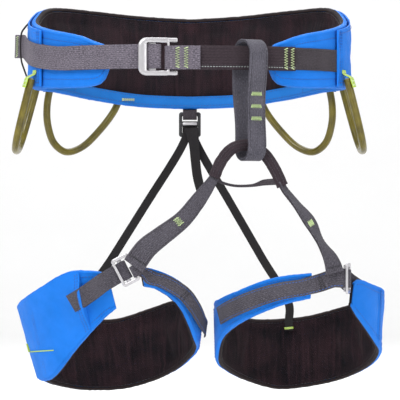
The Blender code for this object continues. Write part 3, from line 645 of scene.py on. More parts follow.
def skin(piece, at, phis, vs, inner, outer, mat_in, mat_out):
    """A curved closed sheet. inner and outer are offsets, or functions of the angle and height.

    Returns the number of points in each station and of those on its inner face.
    """
    def value(f, phi, v):
        return f(phi, v) if callable(f) else f

    n, base = len(vs), len(piece.verts)
    run, last = 0.0, None
    runs = []
    for phi in phis:
        mid = at(phi, 0.5, value(outer, phi, 0.5))
        run += (mid - last).length if last is not None else 0.0
        last = mid
        runs.append(run)
        piece.verts += [at(phi, v, value(inner, phi, v)) for v in vs]
        piece.verts += [at(phi, v, value(outer, phi, v)) for v in reversed(vs)]
    tall = [(at(phi, 1, 0) - at(phi, 0, 0)).length for phi in phis]
    order = list(vs) + list(reversed(vs))
    for i in range(len(phis) - 1):
        for k in range(2 * n):
            m = (k + 1) % (2 * n)
            ids = [base + i * 2 * n + k, base + i * 2 * n + m,
                   base + (i + 1) * 2 * n + m, base + (i + 1) * 2 * n + k]
            spots = [(runs[i], order[k] * tall[i]), (runs[i], order[m] * tall[i]),
                     (runs[i + 1], order[m] * tall[i + 1]), (runs[i + 1], order[k] * tall[i + 1])]
            piece.face(ids, mat_in if k < n - 1 else mat_out, spots)
    for i, turn in ((0, 1), (len(phis) - 1, -1)):
        for k in range(n - 1):
            first = base + i * 2 * n
            ids = [first + k, first + k + 1, first + 2 * n - 2 - k, first + 2 * n - 1 - k][::turn]
            piece.face(ids, mat_out, [(0.001 * q, 0.0) for q in range(4)])
    return base, 2 * n, n


def hem(piece, at, phis, v, reach, inner, outer, mat_in, mat_out, scallop=0.0):
    """The turned edge of the two fabrics: v is 0 or 1, reach its depth over each face."""
    shape = ((1.0, -1.0), (1.08, -0.7), (1.06, -0.25), (0.92, 0.25), (0.5, 0.6), (0.0, 0.75))
    mid, half = (inner + outer) / 2, (outer - inner) / 2
    for side, mat in ((1, mat_out), (-1, mat_in)):
        rings = []
        for phi in phis:
            up = (at(phi, 1, 0) - at(phi, 0, 0)).normalized() * (1 if v else -1)
            out = (at(phi, v, 0.01) - at(phi, v, 0.0)).normalized()
            ripple = scallop * noise.noise(Vector((phi * 0.6, v * 5, 1.3)))
            ring = [at(phi, v, 0.0) + out * (mid + side * a * half) + up * (b * reach + ripple)
                    for a, b in shape]
            ring.append(at(phi, v, 0.0) + out * mid - up * reach)
            rings.append(ring)
        piece.loft(rings, mat)


def puff(obj, held, cap, pressure=4.0):
    """Swells the free part of a padded piece by a cloth simulation, then leaves it as plain mesh."""
    rest = [v.co.copy() for v in obj.data.vertices]
    group = obj.vertex_groups.new(name="held")
    group.add(held, 1.0, "REPLACE")
    cloth = obj.modifiers.new("puff", "CLOTH")
    now = cloth.settings
    now.quality = 5
    now.mass = 0.12
    now.tension_stiffness = now.compression_stiffness = 9.0
    now.shear_stiffness = 4.0
    now.bending_stiffness = 0.15
    now.use_pressure = True
    now.uniform_pressure_force = pressure
    now.shrink_min = -0.03
    now.vertex_group_mass = "held"
    now.effector_weights.gravity = 0.0
    scene = bpy.context.scene
    for step in range(1, 21):
        scene.frame_set(step)
    graph = bpy.context.evaluated_depsgraph_get()
    moved = [v.co.copy() for v in obj.evaluated_get(graph).data.vertices]
    obj.modifiers.clear()
    obj.vertex_groups.clear()
    for vert, old, new in zip(obj.data.vertices, rest, moved):
        step = new - old
        if step.length > cap:
            step *= cap / step.length
        vert.co = old + step
    scene.frame_set(1)
    obj.data.update()


def frame_plate(piece, centre_matrix, outline, hole, thick, mat, corner=0.0035, left_corner=None, lift=None):
    """A flat ring with rounded corners and edges: outline and hole are (x0, x1, y0, y1) in its own plane."""
    def rounded(box, r, q, steps=7):
        x0, x1, y0, y1 = box
        out = []
        for cx, cy, c, start in ((x1 - r, y1 - r, r, 0), (x0 + q, y1 - q, q, 90), (x0 + q, y0 + q, q, 180),
                                 (x1 - r, y0 + r, r, 270)):
            for k in range(steps + 1):
                t = math.radians(start + 90 * k / steps)
                out.append((cx + c * math.cos(t), cy + c * math.sin(t)))
        return out

    half = thick / 2
    rings = []
    outer = rounded(outline, corner, left_corner or corner)
    inner = rounded(hole, min(corner * 0.45, 0.0022), min(corner * 0.45, 0.0022))
    for (ox, oy), (hx, hy) in zip(outer, inner):
        section = []
        for k in range(12):
            t = 2 * math.pi * k / 12
            c, s = math.cos(t), math.sin(t)
            side = 0.5 + 0.5 * math.copysign(abs(c) ** 0.5, c)
            width = math.hypot(ox - hx, oy - hy)
            grow = lift(ox, width) if lift else 1.0
            z = half * grow * math.copysign(abs(s) ** 0.55, s)
            section.append(centre_matrix @ Vector((hx + (ox - hx) * side, hy + (oy - hy) * side, z)))
        rings.append(section)
    piece.loft(rings, mat, closed=True)


def bar_plate(piece, matrix, x0, x1, y0, y1, thick, mat):
    """A small bar with rounded sides, along its own y."""
    rings, count = [], 9
    for i in range(count):
        s = i / (count - 1)
        y = y0 + (y1 - y0) * s
        pinch = 1.0 if 0 < i < count - 1 else 0.8
        ring = []
        for k in range(12):
            t = 2 * math.pi * k / 12
            c, q = math.cos(t), math.sin(t)
            x = (x0 + x1) / 2 + (x1 - x0) / 2 * pinch * math.copysign(abs(c) ** 0.6, c)
            z = thick / 2 * pinch * math.copysign(abs(q) ** 0.8, q)
            ring.append(matrix @ Vector((x, y, z)))
        rings.append(ring)
    piece.loft(rings, mat)


# ---- waist belt ----
# Angles of the belt's vertical seams, and stations round the belt.
WAIST_SEAMS = (103, 180, 257)
BELT = [30.5, 31.2, 32.2, 34, 36, 38.5] + span(41, 319, 168) + [321.5, 324, 326, 327.8, 328.8, 329.5]


pad = Piece("waist_padding")
ROWS = span(0.03, 0.97, 19)
start, ring, inside = skin(pad, waist_v, BELT, ROWS, 0.0012, PAD_OUT, MESH, MESH)
free = {i * ring + k for i, phi in enumerate(BELT) for k in range(2, inside - 2)
        if 2 < i < len(BELT) - 3 and min(abs(phi - seam) for seam in WAIST_SEAMS) > 1.6}
held = [i for i in range(len(pad.verts)) if i not in free]
pad_obj = pad.build("waist_belt", "black_mesh", "waist_pad", smooth=60)
puff(pad_obj, held, 0.0050)


def waist_puckers(phi, v):
    """Outer fabric of the belt: shallow folds, drawn in along the sewn lines."""
    where = waist_at(phi, 0.1 * v, 0)
    off = SHELL_OUT + wrinkle(where, 42, 0.0006, 2.0) + 0.0004 * math.sin(math.pi * v)
    for line in (0.14, 0.86):
        off -= 0.0007 * math.exp(-((v - line) / 0.02) ** 2)
    for seam in WAIST_SEAMS:
        off -= 0.0009 * math.exp(-((phi - seam) / 0.9) ** 2)
    return off


shell = Piece("waist_outer_fabric")
skin(shell, waist_v, BELT, span(0.02, 0.98, 25), SHELL_IN, waist_puckers, BLUE, BLUE)
for v in (0.14, 0.86):
    seam_line(shell, [waist_v(p, v, SHELL_OUT - 0.0002) for p in span(31, 329, 200)], 0.0036)
for phi in WAIST_SEAMS:
    for shift in (-0.9, 0.9):
        seam_line(shell, [waist_v(phi + shift, v, SHELL_OUT) for v in span(0.06, 0.94, 20)], 0.0036)
shell.build("waist_belt", "blue_fabric", "waist_shell", smooth=60)

edge = Piece("waist_binding")
for v in (0, 1):
    hem(edge, waist_v, BELT, v, 0.0022, 0.0008, SHELL_OUT + 0.0002, BINDING if v else BLUE, BLUE,
        scallop=0.0004)
    stitches(edge, [waist_v(p, v, 0.0004) + Vector((0, 0, 0.0034 if v == 0 else -0.0034))
                    for p in span(31.5, 328.5, 220)], DARK_THREAD, 0.0034)
edge.build("waist_belt", "black_mesh")

band = Piece("waist_lower_band")


def band_off(phi, v):
    return -0.0024 - wrinkle(waist_at(phi, v * 0.02, 0), 70, 0.0004, 5.0) - 0.0004 * math.sin(math.pi * v)


def band_v(phi, v, off):
    return waist_at(phi, belt_edges(phi)[1] + 0.0002 + 0.0122 * v, off)


skin(band, band_v, span(106, 254, 110), span(0, 1, 9), band_off, -0.0006, BAND_BLUE, BAND_BLUE)
for v in (0.14, 0.88):
    seam_line(band, [band_v(p, v, -0.0031) for p in span(108, 252, 140)])
for phi in (128, 233):
    seam_line(band, [band_v(phi, v, -0.0031) for v in span(0.1, 0.9, 6)], 0.0026)
band.build("waist_belt", "blue_fabric", "waist_inner_band")

tag = Piece("care_tag")


def tag_v(phi, v, off):
    return waist_at(phi, -0.0378 + 0.0042 * v, off)


skin(tag, tag_v, span(203.2, 208.6, 10), span(0.1, 0.8, 4), -0.0040, -0.0032, PALE, PALE)
for v in (0.25, 0.65):
    stitches(tag, [tag_v(p, v, -0.0042) for p in span(203.4, 208.4, 8)], BLUE_THREAD, 0.0024)
tag.build("waist_belt", "pale_tag", "size_tag")


def cover_v(phi, v, off):
    top, bottom = belt_edges(phi)
    return waist_at(phi, bottom + 0.0006 + (top - bottom - 0.0012) * v, off)


for label, phis, front in (("right", span(65, 112, 56), 65), ("left", span(248, 295, 56), 295)):
    cover = Piece("side_cover_" + label)

    def puckered(phi, v):
        off = COVER + 0.0009 + wrinkle(waist_at(phi, v * 0.07, 0), 48, 0.0011, 9.0)
        off -= 0.0007 * math.exp(-((abs(phi - front) - 2.2) / 0.7) ** 2)
        return off + 0.0006 * math.exp(-(abs(phi - front) / 1.0) ** 2)

    skin(cover, cover_v, phis, span(0, 1, 23), COVER - 0.0007, puckered, BLUE, BLUE)
    for step in (1.8, 3.4):
        phi = front + (step if front < 100 else -step)
        seam_line(cover, [cover_v(phi, v, COVER + 0.0012) for v in span(0.04, 0.96, 16)], 0.0032)
    for v in (0.07, 0.93):
        seam_line(cover, [cover_v(p, v, COVER + 0.0012) for p in phis])
    cover.build("waist_belt", "blue_fabric", "waist_side_cover_" + label)

# Adjustable waist strap: lower layer, turn round the sliding bar, upper layer, folded end.
UP = Vector((0, 0, 1))
turn_phi = phi_of(-0.0325, 0.0122)
mid_o, half_o = (LOWER_STRAP + UPPER_STRAP) / 2, (UPPER_STRAP - LOWER_STRAP) / 2
route = [waist_at(p, strap_z(p), LOWER_STRAP) for p in span(-104, turn_phi, 22)]
for k in range(1, 8):
    t = math.pi * k / 8
    phi = turn_phi + math.degrees(half_o * math.sin(t) / WAIST_A)
    route.append(waist_at(phi, strap_z(phi), mid_o - half_o * math.cos(t)))
route += [waist_at(p, strap_z(p), UPPER_STRAP) for p in span(turn_phi, -82, 17)]
route += [Vector((-0.1812, -0.0030, 0.0180)), Vector((-0.1850, 0.0040, 0.0185)),
          Vector((-0.1915, 0.0085, 0.0188))]
belt = Piece("waist_strap")
strap = Strap(belt, route, WEB_W, WEB_T, UP, GREY, 300, ripple=0.00022, seed=3)
for lift in (-0.0004, 0.0004):
    tack(belt, strap, 0.992, -0.86, 0.86, 0.0030, THREAD, lift=lift, radius=0.0005)
belt.build("waist_belt", "grey_webbing", "waist_strap_left")

belt = Piece("waist_webbing")
strap = Strap(belt, [waist_at(p, -0.0005, LOWER_STRAP + 0.0006) for p in span(29, 106, 20)], 0.0235,
              WEB_T, UP, DARK, 110, ripple=0.0002, seed=5)
tape_rows(belt, strap, DARK_THREAD, 0.02, 0.98)
belt.build("waist_belt", "dark_webbing", "waist_webbing_right")

# Tie-in: a ribbed sleeve over the front of the belt.
tie_phis = [math.degrees(math.asin(x / 0.1765)) for x in span(-0.0030, 0.1120, 20)]
tie = Piece("tie_in_sleeve")
strap = Strap(tie, [waist_at(p, TIE_IN_Z, 0.0127) for p in tie_phis], 0.0254, TIE_IN_T, UP, TIE, 150,
              ripple=0.00035, seed=8)
for a in (0.62, 0.74, 0.84):
    points = [strap.on(k / 60, a * -1, 0.0) for k in range(8, 61)]
    stitches(tie, points, PALE_THREAD if a == 0.74 else DARK_THREAD, 0.0030, radius=0.00028)
for s in (0.905, 0.968):
    tack(tie, strap, s, -0.86, 0.86, 0.0036, THREAD, radius=0.00062, lift=0.0004, step=0.0013)
tie.build("waist_belt", "tie_in_webbing", "tie_in_webbing")

# Short strap that holds the waist buckle, folded round its thin bar.
fold_phi = phi_of(-0.0215, 0.0125)
low_o, high_o = LOWER_STRAP, 0.0153
route = [waist_at(p, TIE_IN_Z, low_o) for p in span(phi_of(0.0120, low_o), fold_phi, 6)]
for k in range(1, 8):
    t = math.pi * k / 8
    phi = fold_phi - math.degrees((high_o - low_o) / 2 * math.sin(t) / WAIST_A)
    route.append(waist_at(phi, TIE_IN_Z, (low_o + high_o) / 2 - (high_o - low_o) / 2 * math.cos(t)))
route += [waist_at(p, TIE_IN_Z, high_o + 0.0007) for p in span(fold_phi, phi_of(0.0120, high_o), 6)]
short = Piece("buckle_strap_folded")
strap = Strap(short, route, 0.0246, 0.0019, UP, GREY, 100, ripple=0.0001, seed=4)
for s in (0.735, 0.835):
    for lift in (-0.0003, 0.0004):
        tack(short, strap, s, -0.86, 0.86, 0.0034, THREAD, radius=0.0006, lift=lift, step=0.0013)
short.build("waist_belt", "grey_webbing", "buckle_strap")

# Waist buckle.
left_mid = waist_at(phi_of(-0.0485, 0.0184), 0.0, 0.0184)
right_mid = waist_at(fold_phi, 0.0, 0.0125)
buckle_u = (right_mid - left_mid).normalized()
buckle_at = left_mid + buckle_u * 0.0178
reach = (right_mid - buckle_at).length
place = frame_matrix(buckle_at, buckle_u, UP)
buckle = Piece("waist_buckle")
frame_plate(buckle, place, (-0.0225, reach + 0.0013, -0.0198, 0.0198),
            (-0.0130, reach - 0.0013, -0.0146, 0.0146), 0.0030, SILVER,
            corner=0.0034, left_corner=0.0088, lift=lambda x, w: 1.0 + 0.7 * (x < -0.013))
for y in (-0.0172, 0.0172):
    bar_plate(buckle, place @ Matrix.Rotation(math.radians(-90), 4, "Z"), y - 0.0023, y + 0.0023,
              reach - 0.0020, reach + 0.0095, 0.0028, SILVER)
buckle.build("waist_belt", "satin_aluminium", "waist_buckle_frame", smooth=50)
bar_phi = phi_of(-0.0385, 0.0122)
bar_mid = waist_at(bar_phi, 0.0, mid_o - 0.0002)
bar_u = (waist_at(bar_phi + 1, 0, mid_o) - waist_at(bar_phi - 1, 0, mid_o)).normalized()
bar = Piece("waist_buckle_slider_bar")
bar_plate(bar, frame_matrix(bar_mid, bar_u, UP), -0.0040, 0.0040, -0.0172, 0.0172, 0.0020, SILVER)
bar.build("waist_buckle_slider", "satin_aluminium", "waist_buckle_bar", smooth=50)

keeper = Piece("strap_keeper_elastic")
line = spline([(-0.1755, 0.0075, 0.0455), (-0.1804, 0.0000, 0.0390), (-0.1836, -0.0045, 0.0330),
               (-0.1848, -0.0060, 0.0180), (-0.1836, -0.0075, 0.0020), (-0.1803, -0.0100, -0.0080),
               (-0.1765, -0.0125, -0.0180)], 60)
cord_along(keeper, line, 0.0010, ELASTIC, 8)
keeper.build("waist_belt", "black_elastic", "strap_keeper")

# ---- belay loop ----
yaw = math.radians(BELAY_YAW)
belay_w = Vector((math.cos(yaw), math.sin(yaw), 0))
belay_d = Vector((-math.sin(yaw), math.cos(yaw), 0))
top_c = BELAY_TOP - BELAY_T / 2 - BELAY_HALF
low_c = BELAY_BOTTOM + BELAY_T / 2 + BELAY_LOW


def belay_half(z):
    """Half the gap between the strands: the loop narrows to the lower tie-in."""
    share = max(0.0, min(1.0, (top_c - z) / (top_c - low_c)))
    return BELAY_HALF + (BELAY_LOW - BELAY_HALF) * (3 * share ** 2 - 2 * share ** 3)


outline = [(math.radians(a), top_c) for a in span(0, 180, 26)]
outline += [(math.pi, top_c + (low_c - top_c) * k / 44) for k in range(1, 44)]
outline += [(math.radians(a), low_c) for a in span(180, 360, 26)]
outline += [(0.0, low_c + (top_c - low_c) * k / 44) for k in range(1, 44)]


def belay_point(turn, z, r, a):
    """A point on the loop: r is the offset from the middle of the tape, a is -1 to 1 across it."""
    out = -belay_d * math.cos(turn) + UP * math.sin(turn)
    bow = 0.0012 * math.sin(z * 60 + (0 if turn > 1.5 else 1.3))
    return BELAY_C + UP * z + out * (belay_half(z) + r) + belay_w * (a * BELAY_W / 2 + bow)


belay = Piece("belay_webbing")
for layer, (r, t, w) in enumerate(((0.00075, 0.00068, 1.0), (-0.00075, 0.00066, 0.985))):
    rings = []
    for turn, z in outline:
        wave = 0.0002 * noise.noise(Vector((turn * 3, z * 90, layer * 7)))
        rings.append([belay_point(turn, z, r + h * t + wave, a * w) for a, h in (
            (1, 0.4), (0.94, 1), (0.5, 0.85), (0, 0.85), (-0.5, 0.85), (-0.94, 1), (-1, 0.4), (-1, -0.4),
            (-0.94, -1), (0, -0.85), (0.94, -1), (1, -0.4))])
    across = [BELAY_W * x for x in (0.5, 0.47, 0.25, 0, -0.25, -0.47, -0.5, -0.5, -0.47, 0, 0.47, 0.5, 0.5)]
    belay.loft(rings, SLATE, closed=True, across=across)
for z in (-0.0392, -0.0520, -0.0648):
    for r in (0.0016, -0.0016):
        points = [belay_point(0.0, z + (0.0017 if k % 2 else -0.0017), r, -0.62 + 1.12 * k / 18)
                  for k in range(19)]
        cord_along(belay, points, 0.0006, THREAD, 5)
for a in (-0.82, 0.82):
    for turn, r in ((0.0, 0.0016), (math.pi, 0.0016)):
        stitches(belay, [belay_point(turn, z, r, a) for z in span(low_c, top_c, 30)], DARK_THREAD, 0.0032)
belay.build("belay_loop", "slate_webbing", "belay_loop")

# ---- gear loops: share of the way between the ends, height ----
FRONT_LOOP = [(0, -0.0195), (0.015, -0.040), (0.05, -0.062), (0.14, -0.083), (0.30, -0.0935),
              (0.50, -0.0960), (0.70, -0.0935), (0.86, -0.083), (0.95, -0.062), (0.985, -0.040),
              (1, -0.0195)]
REAR_LOOP = [(0, -0.0195), (-0.025, -0.045), (0.01, -0.066), (0.12, -0.086), (0.30, -0.0955),
             (0.52, -0.0900), (0.76, -0.070), (0.94, -0.048), (1.0, -0.0345)]


def gear_loop(name, phi0, phi1, base, shape, flare, tab_mats):
    """The tube hangs in one plane through both tabs, leaning out from the belt by `flare`."""
    sign = 1 if phi0 > 0 else -1
    chord = waist_at(phi1, 0, base) - waist_at(phi0, 0, base)
    out = Vector((chord.y, -chord.x, 0)).normalized()
    if out.x * sign < 0:
        out = -out
    ends = [(phi0, shape[0][1]), (phi1, shape[-1][1])]
    route = []
    for share, z in shape:
        top = ends[0][1] + (ends[1][1] - ends[0][1]) * share
        foot = waist_at(phi0, z, base + 0.0048).lerp(waist_at(phi1, z, base + 0.0048), share)
        route.append(foot + out * flare * (top - z))
    mids = [Vector(p) for p in spline(route, 96)]
    loop = Piece("gear_tube_" + name)
    cord_along(loop, mids, TUBE_R, OLIVE, 14)
    for end, inner in ((mids[0], mids[1]), (mids[-1], mids[-2])):
        away = (end - inner).normalized()
        cord_along(loop, [end - away * 0.0004, end + away * 0.0006, end + away * 0.0011],
                   lambda s: 0.0029 * (1 - 0.45 * s), CORE, 10)
    loop.build("gear_loop_" + name, "olive_tube", "gear_loop_" + name, smooth=60)
    for (label, mat, slot), (phi, top) in zip(tab_mats, ends):
        t0 = top + 0.0095
        path = [waist_at(phi, t0, base + 0.0011), waist_at(phi, t0 - 0.0035, base + 0.0013),
                waist_at(phi, t0 - 0.0085, base + 0.0096), waist_at(phi, t0 - 0.0120, base + 0.0108),
                waist_at(phi, t0 - 0.0185, base + 0.0108) + out * flare * 0.008]
        side = (waist_at(phi + 1, 0, base) - waist_at(phi - 1, 0, base)).normalized()
        tab = Piece("gear_tab_%s_%s_sewn" % (name, label))
        strap = Strap(tab, path, 0.0078, 0.0011, side, mat, 60, ripple=0.0001, seed=top)
        tape_rows(tab, strap, PALE_THREAD, 0.08, 0.95, pitch=0.0021)
        thread_mat = THREAD if mat is LIME else PALE_THREAD
        for s in (0.12, 0.72, 0.9):
            tack(tab, strap, s, -0.9, 0.9, 0.0016, thread_mat, step=0.0008)
        tab.build("gear_loop_" + name, slot, "gear_tab_%s_%s" % (name, label))


LIME_TAB, BLUE_TAB = ("front", LIME, "lime_webbing"), ("front", BLUE, "blue_fabric")
REAR_TAB = ("rear", BLUE, "blue_fabric")
for label, sign in (("right", 1), ("left", -1)):
    gear_loop("front_" + label, 70 * sign, 111 * sign, 0.0126, FRONT_LOOP, 0.26, (LIME_TAB, REAR_TAB))
    gear_loop("rear_" + label, 118.5 * sign, 153 * sign, 0.0082, REAR_LOOP, 0.18, (BLUE_TAB, REAR_TAB))

# ---- rear buckle ----
hanger = Piece("rear_tab_webbing")
strap = Strap(hanger, [(0, 0.1176, -0.0300), (0, 0.1176, -0.0450),
                       (0, 0.1170, -0.0540), (0, 0.1125, -0.0578),
                       (0, 0.1080, -0.0540), (0, 0.1076, -0.0475)],
              0.0160, 0.0014, (1, 0, 0), DARK, 80)
tape_rows(hanger, strap, DARK_THREAD, 0.04, 0.96, pitch=0.0026)
tack(hanger, strap, 0.2, -0.85, 0.85, 0.0020, THREAD)
hanger.build("waist_belt", "dark_webbing", "rear_tab")
place = frame_matrix(Vector((0, REAR.y, 0)), (1, 0, 0), UP)
ladder = Piece("rear_ladder_buckle")
frame_plate(ladder, place, (-0.0125, 0.0125, -0.0780, -0.0608), (-0.0088, 0.0088, -0.0738, -0.0655), 0.0032,
            PLASTIC, corner=0.0030)
frame_plate(ladder, place, (-0.0125, 0.0125, -0.0655, -0.0495), (-0.0088, 0.0088, -0.0608, -0.0538), 0.0030,
            PLASTIC, corner=0.0030)
ladder.build("leg_hanger", "black_plastic", "rear_buckle", smooth=50)
backing = Piece("rear_buckle_backing")
strap = Strap(backing, [(0, 0.1126, z) for z in (-0.0600, -0.0650, -0.0700, -0.0750)], 0.0170, 0.0012,
              (1, 0, 0), ELASTIC, 30)
backing.build("leg_hanger", "black_elastic")
bar = Piece("rear_buckle_cross_bar")
bar_plate(bar, frame_matrix(Vector((0, 0.1093, -0.0630)), (0, 0, 1), (1, 0, 0)), -0.0019, 0.0019,
          -0.0080, 0.0080, 0.0024, SILVER)
bar.build("leg_hanger", "satin_aluminium", "rear_buckle_bar", smooth=50)
tail = Piece("riser_tail_elastic")
strap = Strap(tail, [(0.0020, 0.1045, -0.0680), (0.0046, 0.1038, -0.0850),
                     (0.0064, 0.1030, -0.1050), (0.0088, 0.1030, -0.1240),
                     (0.0135, 0.1034, -0.1420)],
              [0.0155, 0.0118, 0.0108, 0.0108, 0.0108], 0.0014, (1, 0, 0), ELASTIC, 90,
              ripple=0.0001)
tack(tail, strap, 0.95, -0.8, 0.8, 0.0018, DARK_THREAD)
tail.build("riser_tail", "black_elastic", "riser_tail")

# ---- lower tie-in ----
ARCH = [ARCH_END_L, (0.0340, -0.1225, -0.1090), (0.0450, -0.1190, -0.0965),
        (0.0575, -0.1145, -0.0925), (0.0700, -0.1098, -0.0945),
        (0.0805, -0.1063, -0.1030), (0.0905, -0.1030, -0.1180), ARCH_END_R]


def across_arch(along):
    """The direction nearest to +Y that is square to the sleeve."""
    back = Vector((0, 1, 0))
    return (back - along * back.dot(along)).normalized()


arch = Piece("tie_in_arch_sleeve")
mids = [Vector(p) for p in spline(ARCH, 120)]
rings = []
for i, mid in enumerate(mids):
    along = (mids[min(i + 1, 119)] - mids[max(i - 1, 0)]).normalized()
    b = across_arch(along)
    c = along.cross(b)
    pinch = 1.0 + 0.05 * noise.noise(mid * 220)
    ring = []
    for k in range(28):
        t = 2 * math.pi * k / 28
        r = 0.0062 * pinch * (1.0 + 0.028 * math.cos(t * 7))
        ring.append(mid + b * r * 0.62 * math.cos(t) + c * r * math.sin(t))
    rings.append(ring)
arch.loft(rings, TIE)
for t in (-0.5, 0.5):
    line = []
    for i in range(4, 116):
        along = (mids[i + 1] - mids[i - 1]).normalized()
        b = across_arch(along)
        line.append(mids[i] - b * 0.0036 + along.cross(b) * 0.0052 * t)
    stitches(arch, line, DARK_THREAD, 0.0030)
arch.build("leg_hanger", "tie_in_webbing", "tie_in_arch", smooth=60)
cross = Piece("cross_strap_webbing")
strap = Strap(cross, [(0.0300, -0.1200, -0.1300), (0.0400, -0.1150, -0.1335), (0.0500, -0.1125, -0.1352),
                      (0.0680, -0.1085, -0.1345), (0.0780, -0.1045, -0.1318),
                      (0.0858, -0.1020, -0.1310), (0.0940, -0.1010, -0.1305)],
              [0.0028, 0.0028, 0.0028, 0.0034, 0.0062, 0.0068, 0.0070], 0.0014, UP, DARK, 80)
tape_rows(cross, strap, DARK_THREAD, 0.05, 0.95, pitch=0.0028)
cross.build("leg_hanger", "black_elastic", "cross_strap")

# ---- leg loops ----
BUCKLE_L = frame_matrix(Vector((-0.0665, -0.1018, -0.2235)), (0.88, -0.06, 0.46), (-0.46, 0, 0.88))
BUCKLE_R = frame_matrix(Vector((0.1690, -0.0860, -0.2330)), (-0.18, -0.98, 0.0), (0.0, 0.0, -1.0))
SLIDER_N, TURN_U, TURN_R = -0.0046, -0.0002, 0.0022


def leg_loop(side, leg, table, phis, seams):
    """Padding, outer fabric and bound edges of one leg loop."""
    body = side + "_leg"

    def at(phi, v, off):
        return leg_at(leg, table, phi, v, off)

    pad = Piece("leg_padding_" + side)
    rows = span(0.03, 0.97, 15)
    base, ring, inside = skin(pad, at, phis, rows, 0.0010, LEG_PAD[1], LEG_MESH, LEG_MESH)
    free = {i * ring + k for i, phi in enumerate(phis) for k in range(2, inside - 2)
            if 2 < i < len(phis) - 3 and min(abs(phi - s) for s in seams) > 1.8}
    held = [i for i in range(len(pad.verts)) if i not in free]
    obj = pad.build(body, "black_mesh", "leg_pad_" + side, smooth=60)
    puff(obj, held, 0.0040)

    def puckers(phi, v):
        where = leg_at(leg, table, phi, v, 0)
        off = LEG_SHELL[1] + wrinkle(where, 46, 0.0008, 4.0) + 0.0003 * math.sin(math.pi * v)
        for s in seams:
            off += 0.0010 * math.exp(-((phi - s - 1.0) / 1.1) ** 2)
            off -= 0.0010 * math.exp(-((phi - s + 1.2) / 0.8) ** 2)
        for line in (0.10, 0.90):
            off -= 0.0006 * math.exp(-((v - line) / 0.02) ** 2)
        return off

    shell = Piece("leg_outer_fabric_" + side)
    skin(shell, at, phis, span(0.02, 0.98, 21), LEG_SHELL[0], puckers, BLUE, BLUE)
    for v in (0.10, 0.90):
        seam_line(shell, [at(p, v, LEG_SHELL[1] - 0.0001) for p in phis[2:-2]])
    for s in seams:
        for shift in (0.4, 2.2):
            seam_line(shell, [at(s + shift, v, LEG_SHELL[1] + 0.0009) for v in span(0.05, 0.95, 16)], 0.0032)
    shell.build(body, "blue_fabric", "leg_shell_" + side, smooth=60)

    edge = Piece("leg_binding_" + side)
    for v in (0, 1):
        hem(edge, at, phis, v, 0.0020, 0.0006, LEG_SHELL[1] + 0.0001, BINDING, BLUE, scallop=0.0005)
        rise = -0.0030 if v else 0.0030
        stitches(edge, [at(p, v, 0.0002) + Vector((0, 0, rise)) for p in phis[2:-2]], DARK_THREAD,
                 0.0036, radius=0.00026)
    edge.build(body, "black_mesh")


left_phis = span(-360, -352, 6) + span(-350, -26, 150) + [-24, -22, -20]
right_phis = [-323, -322, -321, -319, -317] + span(-315, -1, 146) + [1, 3, 5, 6]
leg_loop("left", LEG_L, LEG_L_EDGE, left_phis, (-303, -203, -101))
leg_loop("right", LEG_R, LEG_R_EDGE, right_phis, (-292, -188, -98))

# The big outer panel of the left leg loop, whose free edge covers the ends of the adjusting strap.
cover = Piece("leg_cover_left")


def cover_at(phi, v, off):
    return leg_at(LEG_L, LEG_L_EDGE, phi, v, off)


def cover_rise(phi, v):
    near = max(0.0, min(1.0, (phi + 326) / -16.0))
    strap_v = math.exp(-((v - 0.50) / 0.34) ** 4)
    fold = wrinkle(cover_at(phi, v, 0), 60, 0.0006, 12.0)
    return 0.0082 + 0.0108 * near ** 1.5 * strap_v + fold


skin(cover, cover_at, span(-342.5, -262, 70), span(0.012, 0.988, 25), 0.0062, cover_rise, BLUE, BLUE)
for step in (1.4, 3.0):
    seam_line(cover, [cover_at(-342.5 + step, v, cover_rise(-342.5 + step, v) + 0.0001)
                     for v in span(0.03, 0.97, 30)], 0.0032)
line = []
for k in range(40):
    phi = -284 - 31 * k / 39
    top, bottom = edges_at(LEG_L_EDGE, phi)
    v = (-0.3150 + 0.0042 * k / 39 - bottom) / (top - bottom)
    line.append(cover_at(phi, v, cover_rise(phi, v) + 0.0001))
cord_along(cover, line, 0.0006, LIME, 6)
cover.build("left_leg", "blue_fabric")

for side, place in (("left", BUCKLE_L), ("right", BUCKLE_R)):
    buckle = Piece("leg_buckle_" + side)
    frame_plate(buckle, place, (-0.0105, 0.0095, -0.0162, 0.0162), (-0.0075, 0.0065, -0.0122, 0.0122),
                0.0028, SILVER, corner=0.0034)
    if side == "right":
        frame_plate(buckle, place, (0.0065, 0.0152, -0.0162, 0.0162), (0.0095, 0.0128, -0.0122, 0.0122),
                    0.0028, SILVER, corner=0.0020)
    buckle.build(side + "_leg", "satin_aluminium", "leg_buckle_frame_" + side, smooth=50)
    bar = Piece("leg_buckle_slider_bar_" + side)
    bar_plate(bar, place @ Matrix.Translation((0, 0, SLIDER_N)), -0.0056, -0.0004, -0.0142, 0.0142, 0.0021,
              SILVER)
    bar.build(side + "_leg_buckle_slider", "satin_aluminium", "leg_buckle_bar_" + side, smooth=50)


def turn_points(place):
    """Local route of an adjustable strap through a leg buckle, round its sliding bar."""
    out = [(-0.0120, -0.0068), (-0.0060, -0.0068), (-0.0030, -0.0068), (-0.0010, -0.0068)]
    for k in range(1, 8):
        t = math.pi * k / 8
        out.append((TURN_U + TURN_R * math.sin(t), SLIDER_N - TURN_R * math.cos(t)))
    out += [(-0.0010, -0.0024), (-0.0030, -0.0024), (-0.0060, -0.0024), (-0.0120, -0.0024)]
    return [place @ Vector((u, 0, n)) for u, n in out]


